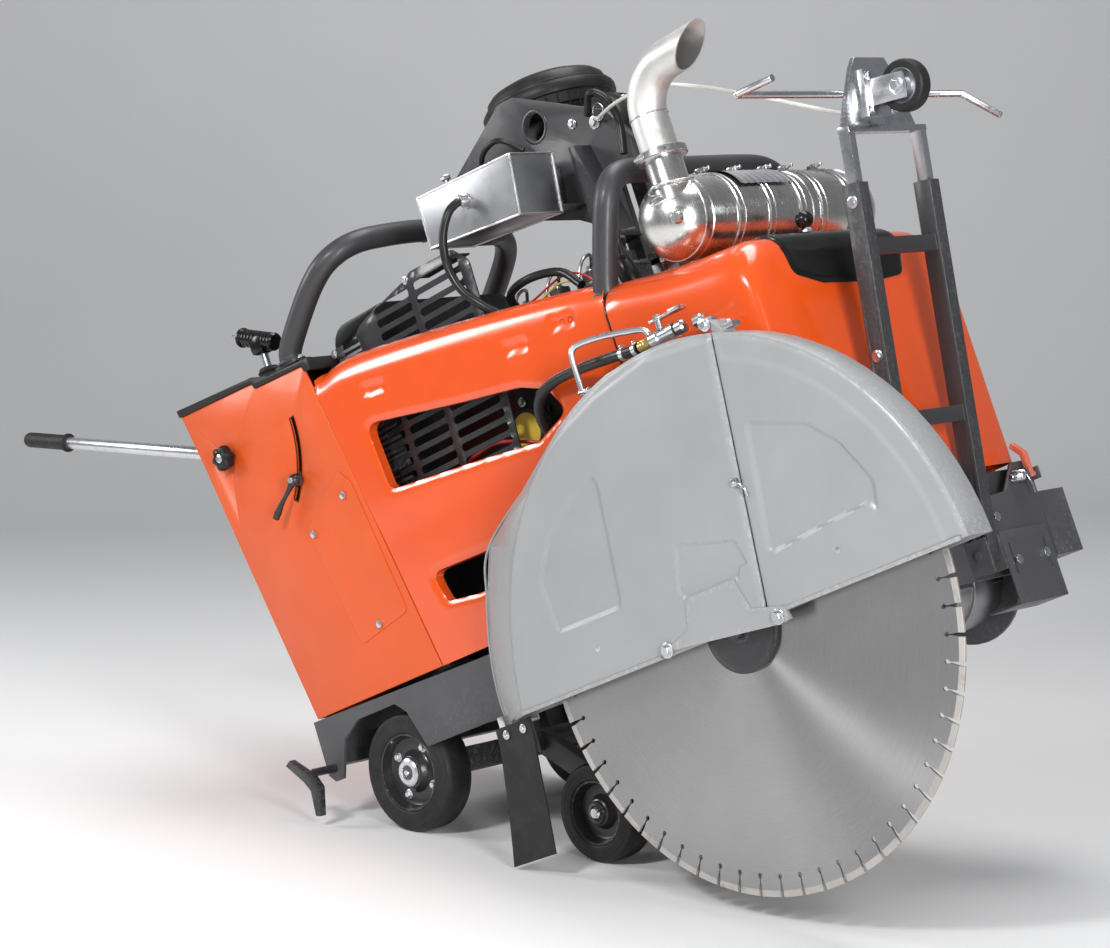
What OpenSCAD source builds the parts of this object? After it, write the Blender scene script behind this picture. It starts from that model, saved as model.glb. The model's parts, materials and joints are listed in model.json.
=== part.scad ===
// Walk-behind concrete saw, standing with its nose raised on the front wheels.
// Machine coordinates: blade-shaft axis at the origin, +X forward along the skirt,
// +Y to the left, +Z up from the chassis. stood() tips them onto the floor.

/* [Body] */
// Width over the side panels
body_w = 620; // [600:5:640]
// Thickness of the body panels
panel_t = 6; // [4:1:8]
// Outside diameter of the lifting hoops
hoop_d = 50; // [40:1:54]

/* [Blade] */
// Blade diameter
blade_d = 1000; // [900:10:1000]
// Blade core thickness
blade_t = 4; // [3:0.5:5]
// Number of diamond segments
segments = 60; // [48:2:72]
// Distance of the blade from the centreline
blade_y = 390; // [388:1:392]

/* [Wheels] */
// Rear wheel diameter
rear_wheel_d = 254; // [230:2:254]
// Front wheel diameter
front_wheel_d = 203.2; // [190:0.2:204]
// Tyre width
tyre_w = 76; // [60:1:76]

/* [Handles] */
// Distance from the tilt pivot to the tip of a grip
handle_len = 779; // [700:1:800]
// Handle angle above the rear horizon of the machine
handle_angle = 21.8; // [20:0.1:23]
// Handle tube diameter
handle_d = 28; // [26:1:30]

/* [Hidden] */

orange = [0.92, 0.36, 0.12];
frame_grey = [0.33, 0.33, 0.34];
guard_grey = [0.72, 0.73, 0.73];
black = [0.06, 0.06, 0.06];
steel = [0.74, 0.74, 0.75];
zinc = [0.8, 0.81, 0.83];

half_w = body_w / 2;
fit = 0.05;                       // running clearance on a radius
round_fn = 48;
blade_r = blade_d / 2;
rear_r = rear_wheel_d / 2;
front_r = front_wheel_d / 2;
wheel_face_y = 300;               // outer face of a rear tyre
front_face_y = 250;               // outer face of a front tyre

rear_axle = [-1095, -10];
front_axle = [-648, -220];
axle_gap = front_axle - rear_axle;
pitch = atan2(-axle_gap[1], axle_gap[0]) - asin((rear_r - front_r) / norm(axle_gap));
function up(p) = p[0] * sin(pitch) + p[1] * cos(pitch);
shaft_height = rear_r - up(rear_axle);
stand_x = 895.5;                   // centres the whole machine over the origin
stand_y = 12.5;

lift_pivot = [-850, -30];
lift_pin = [-811, 73];
barrel_pivot = [-1200, 95];
cylinder_run = lift_pin - barrel_pivot;
cylinder_angle = atan2(cylinder_run[1], cylinder_run[0]);
cylinder_len = norm(cylinder_run);

handle_pivot = [-1348, 783];
handle_y = 278;
hinge_top = [160, 535];           // flip axis of the front guard
guard_c = [-5, -36];              // centre of the guard's rim
guard_r = 580;
guard_y = [-425, -355];
guard_t = 4;
split_top = [169, 517];
split_low = [95, -5];
ladder_pivot = [208, 15];
ladder_lean = 11.3;
ladder_y = 110;
muffler_c = [4, 799];
muffler_r = 83;
crank = [-430, 330];

cowl_top = [[-1009, 855], [-907, 860], [-629, 820], [-277, 759], [-160, 733]];

hose_fn = 10;
water_route = [[-41, -386, 562], [-60, -385, 563], [-120, -378, 572], [-190, -364, 582],
    [-260, -348, 590], [-320, -338, 592], [-365, -332, 584], [-398, -320, 562],
    [-418, -296, 528], [-428, -262, 485], [-425, -225, 445], [-412, -190, 415],
    [-402, -165, 402], [-400, -150, 400]];
coolant_route = [[-520, -223, 1050], [-522, -240, 1048], [-535, -262, 1030],
    [-560, -272, 985], [-570, -272, 930], [-555, -270, 870], [-520, -262, 825],
    [-492, -240, 790], [-480, -200, 755], [-478, -160, 735], [-477, -120, 730]];
rope_route = [[-276, -16, 1129], [-266, -30, 1124], [-230, -60, 1116], [-160, -100, 1108],
    [-90, -120, 1100], [-20, -118, 1090], [60, -96, 1050], [160, -60, 985],
    [260, -32, 916], [320, -16, 876], [359, -10, 852]];

// ---- helpers -------------------------------------------------------------

module stood()
    translate([stand_x, stand_y, shaft_height]) rotate([0, -pitch, 0]) children();

// extrudes an X-Z outline between two Y planes
module slab(y0, y1)
    translate([0, y1, 0]) rotate([90, 0, 0]) linear_extrude(y1 - y0) children();

// cylinder along Y at an X-Z point
module y_cyl(p, y0, y1, r)
    translate([p[0], y0, p[1]]) rotate([-90, 0, 0]) cylinder(h = y1 - y0, r = r, $fn = round_fn);

// box from its two corners
module box(a, b) translate(a) cube(b - a);

// places children with +X along the handle, away from the pivot
module along_handle(y)
    translate([handle_pivot[0], y, handle_pivot[1]])
    rotate([0, handle_angle - 180, 0]) children();

// places children with +X from the barrel pivot towards the lift pin
module along_cylinder()
    translate([barrel_pivot[0], 0, barrel_pivot[1]])
    rotate([0, -cylinder_angle, 0]) children();

// places children with +Z up the pointer ladder from its pivot
module on_ladder()
    translate([ladder_pivot[0], 0, ladder_pivot[1]]) rotate([0, ladder_lean, 0]) children();

module both_sides() {
    children();
    mirror([0, 1, 0]) children();
}

module hex_bolt(r, h) cylinder(h = h, r = r, $fn = 6);

function arc(c, r, a0, a1, n) =
    [for (i = [0:n]) let(a = a0 + (a1 - a0) * i / n) c + r * [cos(a), sin(a)]];

function unit(v) = v / norm(v);

// rounds a route by cutting its corners
function cut(p) = concat([p[0]],
    [for (i = [0:len(p) - 2], t = [0.25, 0.75]) p[i] * (1 - t) + p[i + 1] * t],
    [p[len(p) - 1]]);

function tangent(p, i) =
    unit(p[min(i + 1, len(p) - 1)] - p[max(i - 1, 0)]);

// ring i of a tube: a circle square to the route, turned as little as possible
function side_axis(p, i, ref) = let(t = tangent(p, i)) unit(ref - t * (ref * t));

module tube(route, r, n = hose_fn, ref = [0.1, 1, 0.2]) {
    m = len(route);
    rings = [for (i = [0:m - 1])
        let(t = tangent(route, i), u = side_axis(route, i, ref), v = cross(t, u))
        for (k = [0:n - 1]) route[i] + r * (cos(360 * k / n) * u + sin(360 * k / n) * v)];
    walls = [for (i = [0:m - 2], k = [0:n - 1])
        [i * n + k, i * n + (k + 1) % n, (i + 1) * n + (k + 1) % n, (i + 1) * n + k]];
    polyhedron(rings, concat([for (f = walls) [f[3], f[2], f[1], f[0]]],
        [[for (k = [0:n - 1]) k], [for (k = [n - 1:-1:0]) (m - 1) * n + k]]));
}

// ---- chassis -------------------------------------------------------------

skirt = concat(
    [[-1325, 165], [-1325, 45], [-1308, 28], [-1283, 28], [-1243, 105], [-1184, 134],
     [-1059, 134], [-1030, 109], [-997, 24], [-130, 24]],
    arc([0, 0], 128, 170, 370, 20),
    [[150, 24], [172, 30], [172, 150], [-776, 152], [-1307, 165]]);

module main_frame() stood() color(frame_grey) {
    both_sides() {
        difference() {
            slab(half_w - 8, half_w) polygon(skirt);
            y_cyl([0, 0], half_w - 9, half_w + 1, 45);
        }
        box([-1290, 160, 120], [172, 200, 160]);
        box([-1115, 170, -30], [-1075, 190, 125]);
        box([-1120, 0, -35], [-1070, 205, 15]);
        y_cyl(rear_axle, 200, 296, 15);
        difference() {
            box([-875, 150, -55], [-825, 165, 130]);
            y_cyl(lift_pivot, 149, 166, 15 + fit);
        }
        box([-1290, 18, 75], [-1184, 26, 150]);
    }
    // shelves under the front hoop
    both_sides() box([-230, 195, 138], [-140, half_w - 7, 152]);
    box([-1325, -half_w + 7, 60], [-1285, half_w - 7, 160]);
    box([-875, -half_w + 7, 118], [-825, half_w - 7, 148]);
    box([132, -half_w + 7, 95], [172, half_w - 7, 145]);
    y_cyl(barrel_pivot, -20, 20, 10);
}

plate_x = 172;                    // back face of the front cross plate
cover_x = 226;                    // front face of the raised left half
latch_y = 282;
latch_pivot = [238, 150];

module front_plate() stood() color(frame_grey) {
    difference() {
        union() {
            box([plate_x, -305, -28], [plate_x + 8, 305, 112]);
            box([plate_x, 135, 0], [plate_x + 8, 313, 178]);
            translate([cover_x - 8, 0, 0]) rotate([90, 0, 90]) linear_extrude(8)
                polygon([[135, -20], [135, 121], [212, 128], [258, 181], [313, 182], [306, -20]]);
            box([plate_x, 135, -20], [cover_x - 1, 143, 121]);
            box([plate_x, 300, -20], [cover_x - 1, 308, 178]);
        }
        box([plate_x - 1, 313.5, -40], [cover_x + 1, 330, 200]);
    }
    // lower cover with a returned foot
    difference() {
        box([cover_x - 0.1, 139, -95], [cover_x + 4, 295, 51]);
        for (y = [160, 274])
            box([cover_x - 1, y - 3, -35], [cover_x + 5, y + 3, 25]);
    }
    box([150, 139, -95], [cover_x + 4, 295, -91]);
    // left guard mount, a folded box
    difference() {
        box([plate_x - 22, half_w + 0.01, -14], [cover_x, 397, 116]);
        box([plate_x - 23, half_w + 6, -8], [cover_x - 6, 391, 110]);
    }
    // lugs for the hood latch
    for (y = [latch_y - 16, latch_y + 18])
        difference() {
            box([cover_x - 0.1, y, 138], [cover_x + 24, y + 6, 162]);
            y_cyl(latch_pivot, y - 1, y + 7, 6 + fit);
        }
    // pointer brackets
    for (s = [-1, 1]) {
        for (w = [-24, 18])
            difference() {
                box([plate_x + 7, s * ladder_y + w, -22], [232, s * ladder_y + w + 6, 45]);
                y_cyl(ladder_pivot, s * ladder_y + w - 1, s * ladder_y + w + 7, 8);
            }
        y_cyl(ladder_pivot, s * ladder_y - 30, s * ladder_y + 30, 8);
    }
}

module spindle_housing() stood() color([0.45, 0.45, 0.46]) difference() {
    union() {
        y_cyl([0, 0], -302, 45, 88);
        y_cyl([0, 0], 155, 302, 88);
        y_cyl([0, 0], -60, 20, 95);
        y_cyl([0, 0], 200, 260, 95);
        box([70, -300, -25], [90, 300, 25]);
        for (y = [-200, 160])
            box([-50, y, 60], [50, y + 40, 120]);
    }
    y_cyl([0, 0], -310, 310, 20 + fit);
    y_cyl([0, 0], -295, 38, 60);
    y_cyl([0, 0], 162, 295, 60);
    y_cyl([0, 0], 45, 155, 68);
}

// ---- rear console --------------------------------------------------------

console_side = [[-1466, 918], [-1435, 782], [-1391, 560], [-1308, 168], [-886, 168],
    [-1031, 869], [-1036, 884], [-1199, 891], [-1207, 905]];
console_core = [[-1458, 905], [-1428, 780], [-1384, 560], [-1304, 160], [-870, 160],
    [-1020, 900], [-1199, 884], [-1210, 897]];
slot_r = 235;

module console_shell() stood() color(orange) difference() {
    slab(-half_w, half_w) polygon(console_side);
    slab(-half_w + panel_t, half_w - panel_t) polygon(console_core);
    y_cyl(handle_pivot, -half_w - 1, half_w + 1, 12 + fit);
    // arc slot for the tilt lock, on the right side
    slab(-half_w - 1, -half_w + panel_t + 1)
        polygon(concat(arc(handle_pivot, slot_r + 7, 3, -43, 16),
            arc(handle_pivot, slot_r - 7, -43, 3, 16)));
    // openings in the rear wall for the two handles
    for (y = [-half_w + 7, half_w - 57])
        box([-1480, y, 700], [-1380, y + 50, 890]);
}

module console_tray() stood() color(black) difference() {
    slab(-half_w - 4, half_w + 4)
        polygon([[-1474, 936], [-1470, 918.5], [-1207, 905.5], [-1199, 891.5], [-1036, 884.5],
            [-1031, 870], [-1012, 868], [-1010, 895], [-1190, 904], [-1199, 918]]);
    // sloped recess for the gauges
    slab(-half_w + 20, half_w - 20)
        polygon([[-1450, 960], [-1450, 925], [-1230, 914], [-1225, 960]]);
}

module access_panel() stood() color(orange)
    slab(-half_w - 3, -half_w - 0.01)
        polygon([[-1020, 642], [-1165, 558], [-1160, 545], [-1104, 285], [-1090, 275],
            [-940, 303], [-933, 312], [-988, 605], [-1008, 636]]);

// ---- bodywork ------------------------------------------------------------

module cowl_outline() polygon(concat(
    [[-1009, 855], [-1029, 868], [-884, 168], [-164, 168], [-164, 727]],
    [for (i = [3:-1:1]) cowl_top[i]]));

module cowl_windows() {
    polygon([[-902, 705], [-631, 654], [-446, 623], [-374, 594], [-339, 537],
        [-437, 504], [-608, 525], [-886, 553]]);
    polygon([[-844, 356], [-821, 288], [-728, 276], [-450, 270], [-430, 330],
        [-470, 348], [-695, 351]]);
}

module cowl() {
    slab(half_w - panel_t, half_w) difference() {
        cowl_outline();
        cowl_windows();
    }
    // turned-in top flange
    difference() {
        slab(half_w - 50, half_w - 1) polygon(concat(cowl_top,
            [for (i = [4:-1:0]) cowl_top[i] - [0, 6]]));
        box([-222, half_w - 70, 690], [-150, half_w - 13, 780]);
    }
}

module cowl_right() stood() color(orange) mirror([0, 1, 0]) cowl();

module cowl_left() stood() color(orange) cowl();

hood_section = [[-half_w, 168], [-half_w, 560], [-half_w + 10, 610], [-half_w + 45, 665],
    [-half_w + 90, 690], [half_w - 90, 690], [half_w - 45, 665], [half_w - 10, 610],
    [half_w, 560], [half_w, 168]];
hood_core = [[-half_w + 6, 160], [-half_w + 6, 560], [-half_w + 16, 606], [-half_w + 49, 660],
    [-half_w + 92, 684], [half_w - 92, 684], [half_w - 49, 660], [half_w - 16, 606],
    [half_w - 6, 560], [half_w - 6, 160]];

module hood_block(section, x0, x1)
    translate([x0, 0, 0]) rotate([90, 0, 90]) linear_extrude(x1 - x0) polygon(section);

module front_hood() stood() color(orange) difference() {
    hood_block(hood_section, -160, 204);
    hood_block(hood_core, -170, 198);
    // side door flange and bay above the front cross plate
    box([150, -half_w - 1, 150], [230, half_w + 1, 186]);
    // shift lever opening under the inset
    box([100, -170, 670], [176, 120, 700]);
}

module hood_inset() stood() color(black) {
    difference() {
        box([80, -200, 690.01], [204, 150, 698]);
        box([112, -34, 680], [156, 18, 700]);
    }
    box([204.01, -200, 640], [212, 150, 698]);
    box([190, -200, 690.01], [212, 150, 698]);
}

// ---- engine bay ----------------------------------------------------------

module slots(x0, x1, z0, z1, n) {
    h = (z1 - z0) / n;
    for (i = [0:n - 1])
        box([x0, -270, z0 + i * h + h * 0.22], [x1, -200, z0 + i * h + h * 0.78]);
}

module radiator_grille() stood() color(black) {
    difference() {
        slab(-246, -242) polygon([[-975, 480], [-860, 430], [-540, 430], [-520, 700],
            [-520, 940], [-560, 966], [-700, 960], [-1000, 900]]);
        slots(-940, -830, 560, 890, 9);
        slots(-810, -700, 500, 930, 12);
        slots(-680, -560, 500, 930, 12);
    }
    box([-980, -246, 600], [-870.01, -240, 620]);
    box([-700, -242.1, 925], [-560, -200, 929]);
}

module radiator() stood() color(black) {
    difference() {
        translate([-1000, 0, 0]) rotate([90, 0, 90]) linear_extrude(120)
            polygon(concat([[-235, 168.01], [235, 168.01]],
                arc([165, 895], 70, 0, 90, 6), arc([-165, 895], 70, 90, 180, 6)));
        box([-1010, -190, 300], [-990, 190, 880]);
    }
}

module engine_block() stood() color([0.16, 0.16, 0.17]) {
    box([-660, -150, 200], [-200, 40, 620]);
    for (y = [-200, 160])
        box([-600, y, 160.01], [-540, y + 40, 230]);
    box([-300, -200, 160.01], [-240, -160, 240]);
    box([-300, 160, 160.01], [-240, 200, 385]);
    box([-600, -200, 215], [-240, -145, 240]);
    box([-600, 38, 200], [-540, 200, 230]);
    box([-300, 38, 355], [-240, 200, 385]);
    box([-640, -120, 619], [-220, 10, 760]);
    box([-620, -90, 759], [-260, -20, 800]);
    for (x = [-590, -490, -390, -290])
        translate([x, -55, 795]) cylinder(h = 40, r = 22, $fn = 32);
    y_cyl([-430, 330], 39, 52, 70);
    y_cyl([-300, 560], -215, -148, 72);
    y_cyl([-560, 560], -200, -148, 45);
    // manifold up to the muffler
    box([-205, -100, 560], [-164, 20, 610]);
    box([-205, -100, 600], [-164, -40, 716]);
}

module air_cleaner() stood() color(black) {
    y_cyl([-330, 1120], 20, 170, 72);
    for (y = [30, 60, 90, 150])
        y_cyl([-330, 1120], y, y + 10, 80);
    box([-350, 100, 900], [-310, 160, 1060]);
    box([-350, 30, 795], [-310, 160, 910]);
    box([-350, 10.01, 750], [-310, 45, 830]);
    box([-410.9, 140, 1095], [-380, 170, 1135]);
}

module precleaner() stood() color(black) translate([-565, 175, 0]) {
    translate([0, 0, 1215]) cylinder(h = 60, r1 = 132, r2 = 146, $fn = 64);
    translate([0, 0, 1274.9]) cylinder(h = 18, r = 146, $fn = 64);
    translate([0, 0, 1292.8]) cylinder(h = 38, r1 = 140, r2 = 92, $fn = 64);
    translate([0, 0, 1100]) cylinder(h = 116, r = 45, $fn = round_fn);
    translate([0, -45, 1085]) cube([154, 90, 60]);
}

module battery_box() stood() color(black) {
    box([-1220, -150, 160.01], [-1020, 150, 380]);
    box([-1210, -140, 380], [-1030, 140, 392]);
}

module drive_pulley() stood() color(steel) {
    difference() {
        union() {
            y_cyl(crank, 58, 142, 84);
            for (y = [58, 84, 110, 137])
                y_cyl(crank, y, y + 5, 92);
        }
    }
    y_cyl(crank, 52.5, 58.5, 30);
}

// racetrack of one belt, wide enough to clear both pulleys
module belt(y) slab(y, y + 14) difference() {
    hull() {
        translate(crank) circle(r = 103, $fn = 32);
        circle(r = 67, $fn = 32);
    }
    hull() {
        translate(crank) circle(r = 94, $fn = 32);
        circle(r = 58, $fn = 32);
    }
}

module drive_belts() stood() color(black) for (y = [66, 92, 118]) belt(y);

// ---- lifting gear --------------------------------------------------------

module lift_plate() stood() color(frame_grey) {
    difference() {
        slab(-8, 8) polygon([[-824, 1095], [-816, 1132], [-544, 1272], [-500, 1270],
            [-264, 1140], [-189, 1019], [-283, 985], [-283, 871], [-420, 960],
            [-600, 1030], [-820, 1062]]);
        y_cyl([-463, 1187], -9, 9, 30);
    }
    // web towards the engine mount
    slab(-60, -7) polygon([[-345, 1090], [-330, 1090], [-280, 880], [-345, 880]]);
    slab(-60, 7.9) polygon([[-345, 872], [-345, 884], [-280, 884], [-280, 872]]);
    box([-345, -60, 800.01], [-333, 7.9, 884]);
}

hoop_r = hoop_d / 2;

module rear_hoop() stood() color([0.24, 0.24, 0.25]) {
    rear_run = [[-1085, -290, 906], [-1082, -290, 932], [-1050, -290, 962], [-1005, -290, 1000],
        [-960, -288, 1036], [-915, -278, 1068], [-880, -250, 1088], [-862, -205, 1100],
        [-856, -140, 1106], [-852, -70, 1110], [-852, 0, 1111]];
    half = cut(cut(rear_run));
    other = [for (i = [len(half) - 2:-1:0]) [half[i][0], -half[i][1], half[i][2]]];
    tube(concat(half, other), hoop_r, 12, [0.6, 0.1, 0.8]);
    both_sides() box([-1120, -308, 901.5], [-1052, -262, 913]);
    box([-868, -20, 1088], [-796, -8.01, 1114]);
}

module front_hoop() stood() color([0.24, 0.24, 0.25]) {
    front_run = [[-183, -270, 700], [-176, -270, 735], [-150, -270, 795], [-124, -270, 852],
        [-106, -268, 890], [-98, -250, 922], [-98, -210, 940], [-100, -140, 943],
        [-103, -70, 944], [-104, 0, 944]];
    half = cut(cut(front_run));
    other = [for (i = [len(half) - 2:-1:0]) [half[i][0], -half[i][1], half[i][2]]];
    tube(concat(half, other), hoop_r, 12, [0.6, 0.1, 0.8]);
    both_sides() {
        box([-196, -298, 160.01], [-168, -242, 720]);
        box([-215, -301, 152.01], [-150, -210, 166]);
    }
    box([-200, -20, 925], [-110, -8.01, 975]);
}

module coolant_tank() stood() color([0.72, 0.73, 0.75]) {
    slab(-212, -85) polygon([[-655, 1110], [-368, 1091], [-389, 968], [-658, 1000]]);
    slab(-85.1, -8.01) polygon([[-560, 1090], [-430, 1080], [-440, 1000], [-565, 1015]]);
    translate([-520, -213, 1050]) rotate([90, 0, 0]) cylinder(h = 10, r = 13, $fn = 32);
    translate([-636, -130, 1105]) cylinder(h = 40, r = 5, $fn = 24);
    translate([-636, -130, 1143]) hex_bolt(11, 9);
}

module coolant_hose() stood() color(black)
    tube(cut(coolant_route), 9, 8);

// ---- exhaust -------------------------------------------------------------

module muffler() stood() color(steel) {
    translate([muffler_c[0], 0, muffler_c[1]]) rotate([-90, 0, 0]) {
        translate([0, 0, -207]) cylinder(h = 480, r = muffler_r, $fn = 64);
        translate([0, 0, -207]) sphere(r = muffler_r, $fn = 64);
        translate([0, 0, 273]) sphere(r = muffler_r - 2, $fn = 64);
    }
    translate([30, -235, 820]) cylinder(h = 104, r = 38, $fn = round_fn);
    // saddle down to the manifold
    box([-200, -95, 716.01], [-168, -45, 790]);
    box([-200, -95, 770], [-40, -45, 800]);
}

module strap(y) difference() {
    y_cyl(muffler_c, y, y + 22, muffler_r + 5);
    y_cyl(muffler_c, y - 1, y + 23, muffler_r + 0.3);
}

module exhaust_clamps() stood() color(zinc) {
    for (y = [-130, 120]) {
        strap(y);
        box([-14, y + 2, 886], [22, y + 20, 906]);
    }
    translate([30, -235, 908]) difference() {
        cylinder(h = 22, r = 50, $fn = 64);
        translate([0, 0, -1]) cylinder(h = 24, r = 38.3, $fn = 64);
    }
    translate([78, -245, 912]) cube([18, 20, 14]);
}

// upright pipe, a quarter bend and a short level end
bend_r = 88;
elbow_route = concat([[0, 0, 0], [0, 0, 70]],
    [for (a = [11.25:11.25:78.75]) [bend_r * (1 - cos(a)), 0, 70 + bend_r * sin(a)]],
    [[bend_r, 0, 70 + bend_r], [bend_r + 100, 0, 70 + bend_r]]);

module exhaust_elbow() stood() color(steel) translate([30, -235, 924.01]) difference() {
    tube(elbow_route, 38, 24);
    translate([0, 0, -0.5]) tube(elbow_route, 35, 24);
    // scarf-cut outlet
    translate([bend_r + 62, 0, 70 + bend_r]) rotate([0, 45, 0])
        translate([0, -60, -90]) cube([160, 120, 200]);
}

// ---- blade guard ---------------------------------------------------------

rear_face = concat([split_top, [0, 542]], arc(guard_c, guard_r, 100, 175, 14),
    [[-580, -4], split_low]);
rear_back = concat([split_top, [0, 542]], arc(guard_c, guard_r + 2, 100, 110, 3),
    [[-290, 505], [-441, 430], [-606, 344], [-654, 251], [-690, 144], [-703, 55],
     [-699, -2], split_low]);
front_face = concat([split_low + [3, 0]], arc(guard_c, guard_r, 3.4, 72.2, 16),
    [split_top + [3, 0]]);

module guard_rear() stood() color(guard_grey) {
    difference() {
        hull() {
            slab(guard_y[0], guard_y[0] + 1) polygon(rear_face);
            slab(guard_y[1] - 1, guard_y[1]) polygon(rear_back);
        }
        hull() {
            slab(guard_y[0] + guard_t, guard_y[0] + guard_t + 1)
                polygon(concat([[150, 510]], arc(guard_c, guard_r - 6, 76, 175, 16),
                    [[-574, -30], [80, -30], [96, -4]]));
            slab(guard_y[1] - guard_t - 1, guard_y[1] - guard_t)
                polygon(concat([[150, 510]], arc(guard_c, guard_r - 6, 76, 110, 6),
                    [[-438, 422], [-600, 340], [-648, 249], [-684, 143], [-697, 55],
                     [-693, -30], [80, -30], [96, -4]]));
        }
        slab(guard_y[0] + guard_t, guard_y[1] - guard_t)
            polygon([[60, -40], [200, -40], [200, 503], [100, 503], [60, 300]]);
        y_cyl([0, 0], guard_y[1] - 10, guard_y[1] + 1, 90);
        box([-90, guard_y[1] - 10, -60], [90, guard_y[1] + 1, 0]);
    }
    // lap plate over the split, with its latch bolt
    slab(guard_y[0] - 4, guard_y[0] - 0.6)
        polygon([[-174, 7], [-94, 27], [-78, 82], [49, 84], [68, 22], [145, 3], [150, -22], [125, -25]]);
    slab(guard_y[0] - 1, guard_y[0] + 1) polygon([[-140, 10], [-70, 60], [40, 60], [55, 12]]);
    // mounting arm behind the guard, down to the skirt
    box([-330, guard_y[1] - 0.5, 40], [-250, -half_w - 0.01, 140]);
    box([-60, guard_y[1] - 0.5, 130], [60, -half_w - 0.01, 150]);
    // fixed hinge knuckle
    difference() {
        union() {
            y_cyl(hinge_top, -382, -357, 9);
            box([142, -382, 508], [160, -357, 533]);
        }
        y_cyl(hinge_top, -383, -359, 5 + fit);
    }
    // flap bracket, from the back face to the flap
    box([-690, -359, -14], [-610, -355.5, 10]);
    box([-690, -387, -14], [-610, -355.5, -10]);
    box([-690, -387, -36], [-610, -384, -10]);
}

module guard_front() stood() color(guard_grey) {
    difference() {
        slab(guard_y[0], guard_y[1]) polygon(front_face);
        slab(guard_y[0] + guard_t, guard_y[1] - guard_t)
            polygon(concat([[60, -40], [569, -40]], arc(guard_c, guard_r - 4, 1, 72.2, 16),
                [[60, 511]]));
    }
    // moving hinge knuckle
    y_cyl(hinge_top, -418, -384, 9);
    slab(-418, -384) polygon([[160, 531], [174, 514], [190, 506], [193, 514], [168, 540]]);
    y_cyl(hinge_top, -421, -362, 5);
}

bail_route = [[-192, -406, 524], [-192, -406, 560], [-192, -406, 600], [-189, -404, 614],
    [-176, -398, 620], [-130, -386, 617], [-80, -376, 607], [-38, -368, 597],
    [-25, -366, 588], [-23, -366, 570], [-23, -366, 543]];

module guard_bail() stood() color(zinc) tube(cut(bail_route), 6, 8, [0.1, 1, 0]);

module water_valve() stood() color(zinc) {
    box([-10, -400, 546], [60, -372, 576]);
    translate([25, -386, 575]) cylinder(h = 18, r = 8, $fn = 24);
    box([0, -396, 592], [75, -376, 598]);
    color([0.75, 0.58, 0.25]) translate([-9, -386, 562]) rotate([0, -90, 0])
        cylinder(h = 32, r = 10, $fn = 24);
}

module water_hose() stood() color(black)
    tube(cut(water_route), 11, hose_fn);

module splash_flap() stood() color(black)
    slab(-393, -387.01) polygon([[-704, -6.5], [-706, -40], [-714, -80], [-726, -130],
        [-740, -186], [-754, -236], [-766, -276], [-642, -278], [-635, -236], [-627, -186],
        [-619, -130], [-611, -80], [-605, -40], [-600, -6.5]]);

// ---- blade and drive -----------------------------------------------------

seg_step = 360 / segments;
// one segment: a tooth on the rim, then a narrow gullet with a round key hole
function tooth(i) = let(a = i * seg_step, g = asin(1.6 / (blade_r - 14)))
    concat([for (k = [0:3]) blade_r * [cos(a + g + (seg_step - 2 * g) * k / 3),
            sin(a + g + (seg_step - 2 * g) * k / 3)]],
        [for (q = [[33, -1.6], [35, -4.5], [42, -4.5], [42, 4.5], [35, 4.5], [33, 1.6]])
            let(b = a + seg_step + asin(q[1] / (blade_r - q[0])))
            (blade_r - q[0]) * [cos(b), sin(b)]]);

module blade() stood() color(steel) translate([0, -blade_y + blade_t / 2, 0])
    rotate([90, 0, 0]) difference() {
        linear_extrude(blade_t) polygon([for (i = [0:segments - 1]) each tooth(i)]);
        translate([0, 0, -1]) cylinder(h = blade_t + 2, r = 12.7 + fit, $fn = round_fn);
    }

flange_r = 85;
flange_face_y = 388;
arbor_r = 12.7;
arbor_slack = 0.3;
arbor_stub = 22;
collar_r = 16;

module blade_flanges() stood() color([0.1, 0.1, 0.1]) {
    difference() {
        y_cyl([0, 0], -blade_y + blade_t / 2, -blade_y + blade_t / 2 + 14, flange_r);
        y_cyl([0, 0], -blade_y - 5, -blade_y + 40, 12.7 + fit);
    }
    difference() {
        y_cyl([0, 0], -blade_y - blade_t / 2 - 10, -blade_y - blade_t / 2, flange_r);
        y_cyl([0, 0], -blade_y - 40, -blade_y + 1, 12.7 + fit);
    }
    difference() {
        y_cyl([0, 0], flange_face_y - 14, flange_face_y, flange_r);
        y_cyl([0, 0], 370, 390, collar_r + fit);
    }
    translate([0, -blade_y - blade_t / 2 - 10, 0]) rotate([90, 0, 0]) hex_bolt(19, 10);
}

module blade_shaft() stood() color(steel) {
    y_cyl([0, 0], -374, 374, 20);
    y_cyl([0, 0], -blade_y - blade_t / 2 - 10, -370, arbor_r - arbor_slack);
    y_cyl([0, 0], 370, flange_face_y, collar_r);
    y_cyl([0, 0], flange_face_y - 1, flange_face_y + arbor_stub, arbor_r);
    y_cyl([0, 0], 60, 140, 50);
    for (y = [60, 86, 112, 135])
        y_cyl([0, 0], y, y + 5, 56);
}

// ---- wheels --------------------------------------------------------------

module wheel(p, r, y_out, bore, dish) difference() {
    union() {
        y_cyl(p, y_out - tyre_w, y_out, r);
    }
    y_cyl(p, y_out - dish, y_out + 1, r * 0.64);
    y_cyl(p, y_out - tyre_w - 1, y_out - tyre_w + 20, r * 0.64);
    y_cyl(p, y_out - tyre_w - 1, y_out + 1, bore);
}

module rear_wheel() {
    wheel(rear_axle, rear_r, wheel_face_y, 15 + fit, 30);
    difference() {
        y_cyl(rear_axle, wheel_face_y - 70, wheel_face_y + 29, 32);
        y_cyl(rear_axle, wheel_face_y - 71, wheel_face_y - 3, 15 + fit);
    }
}

module rear_wheel_left() stood() color(black) rear_wheel();
module rear_wheel_right() stood() color(black) mirror([0, 1, 0]) rear_wheel();

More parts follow.
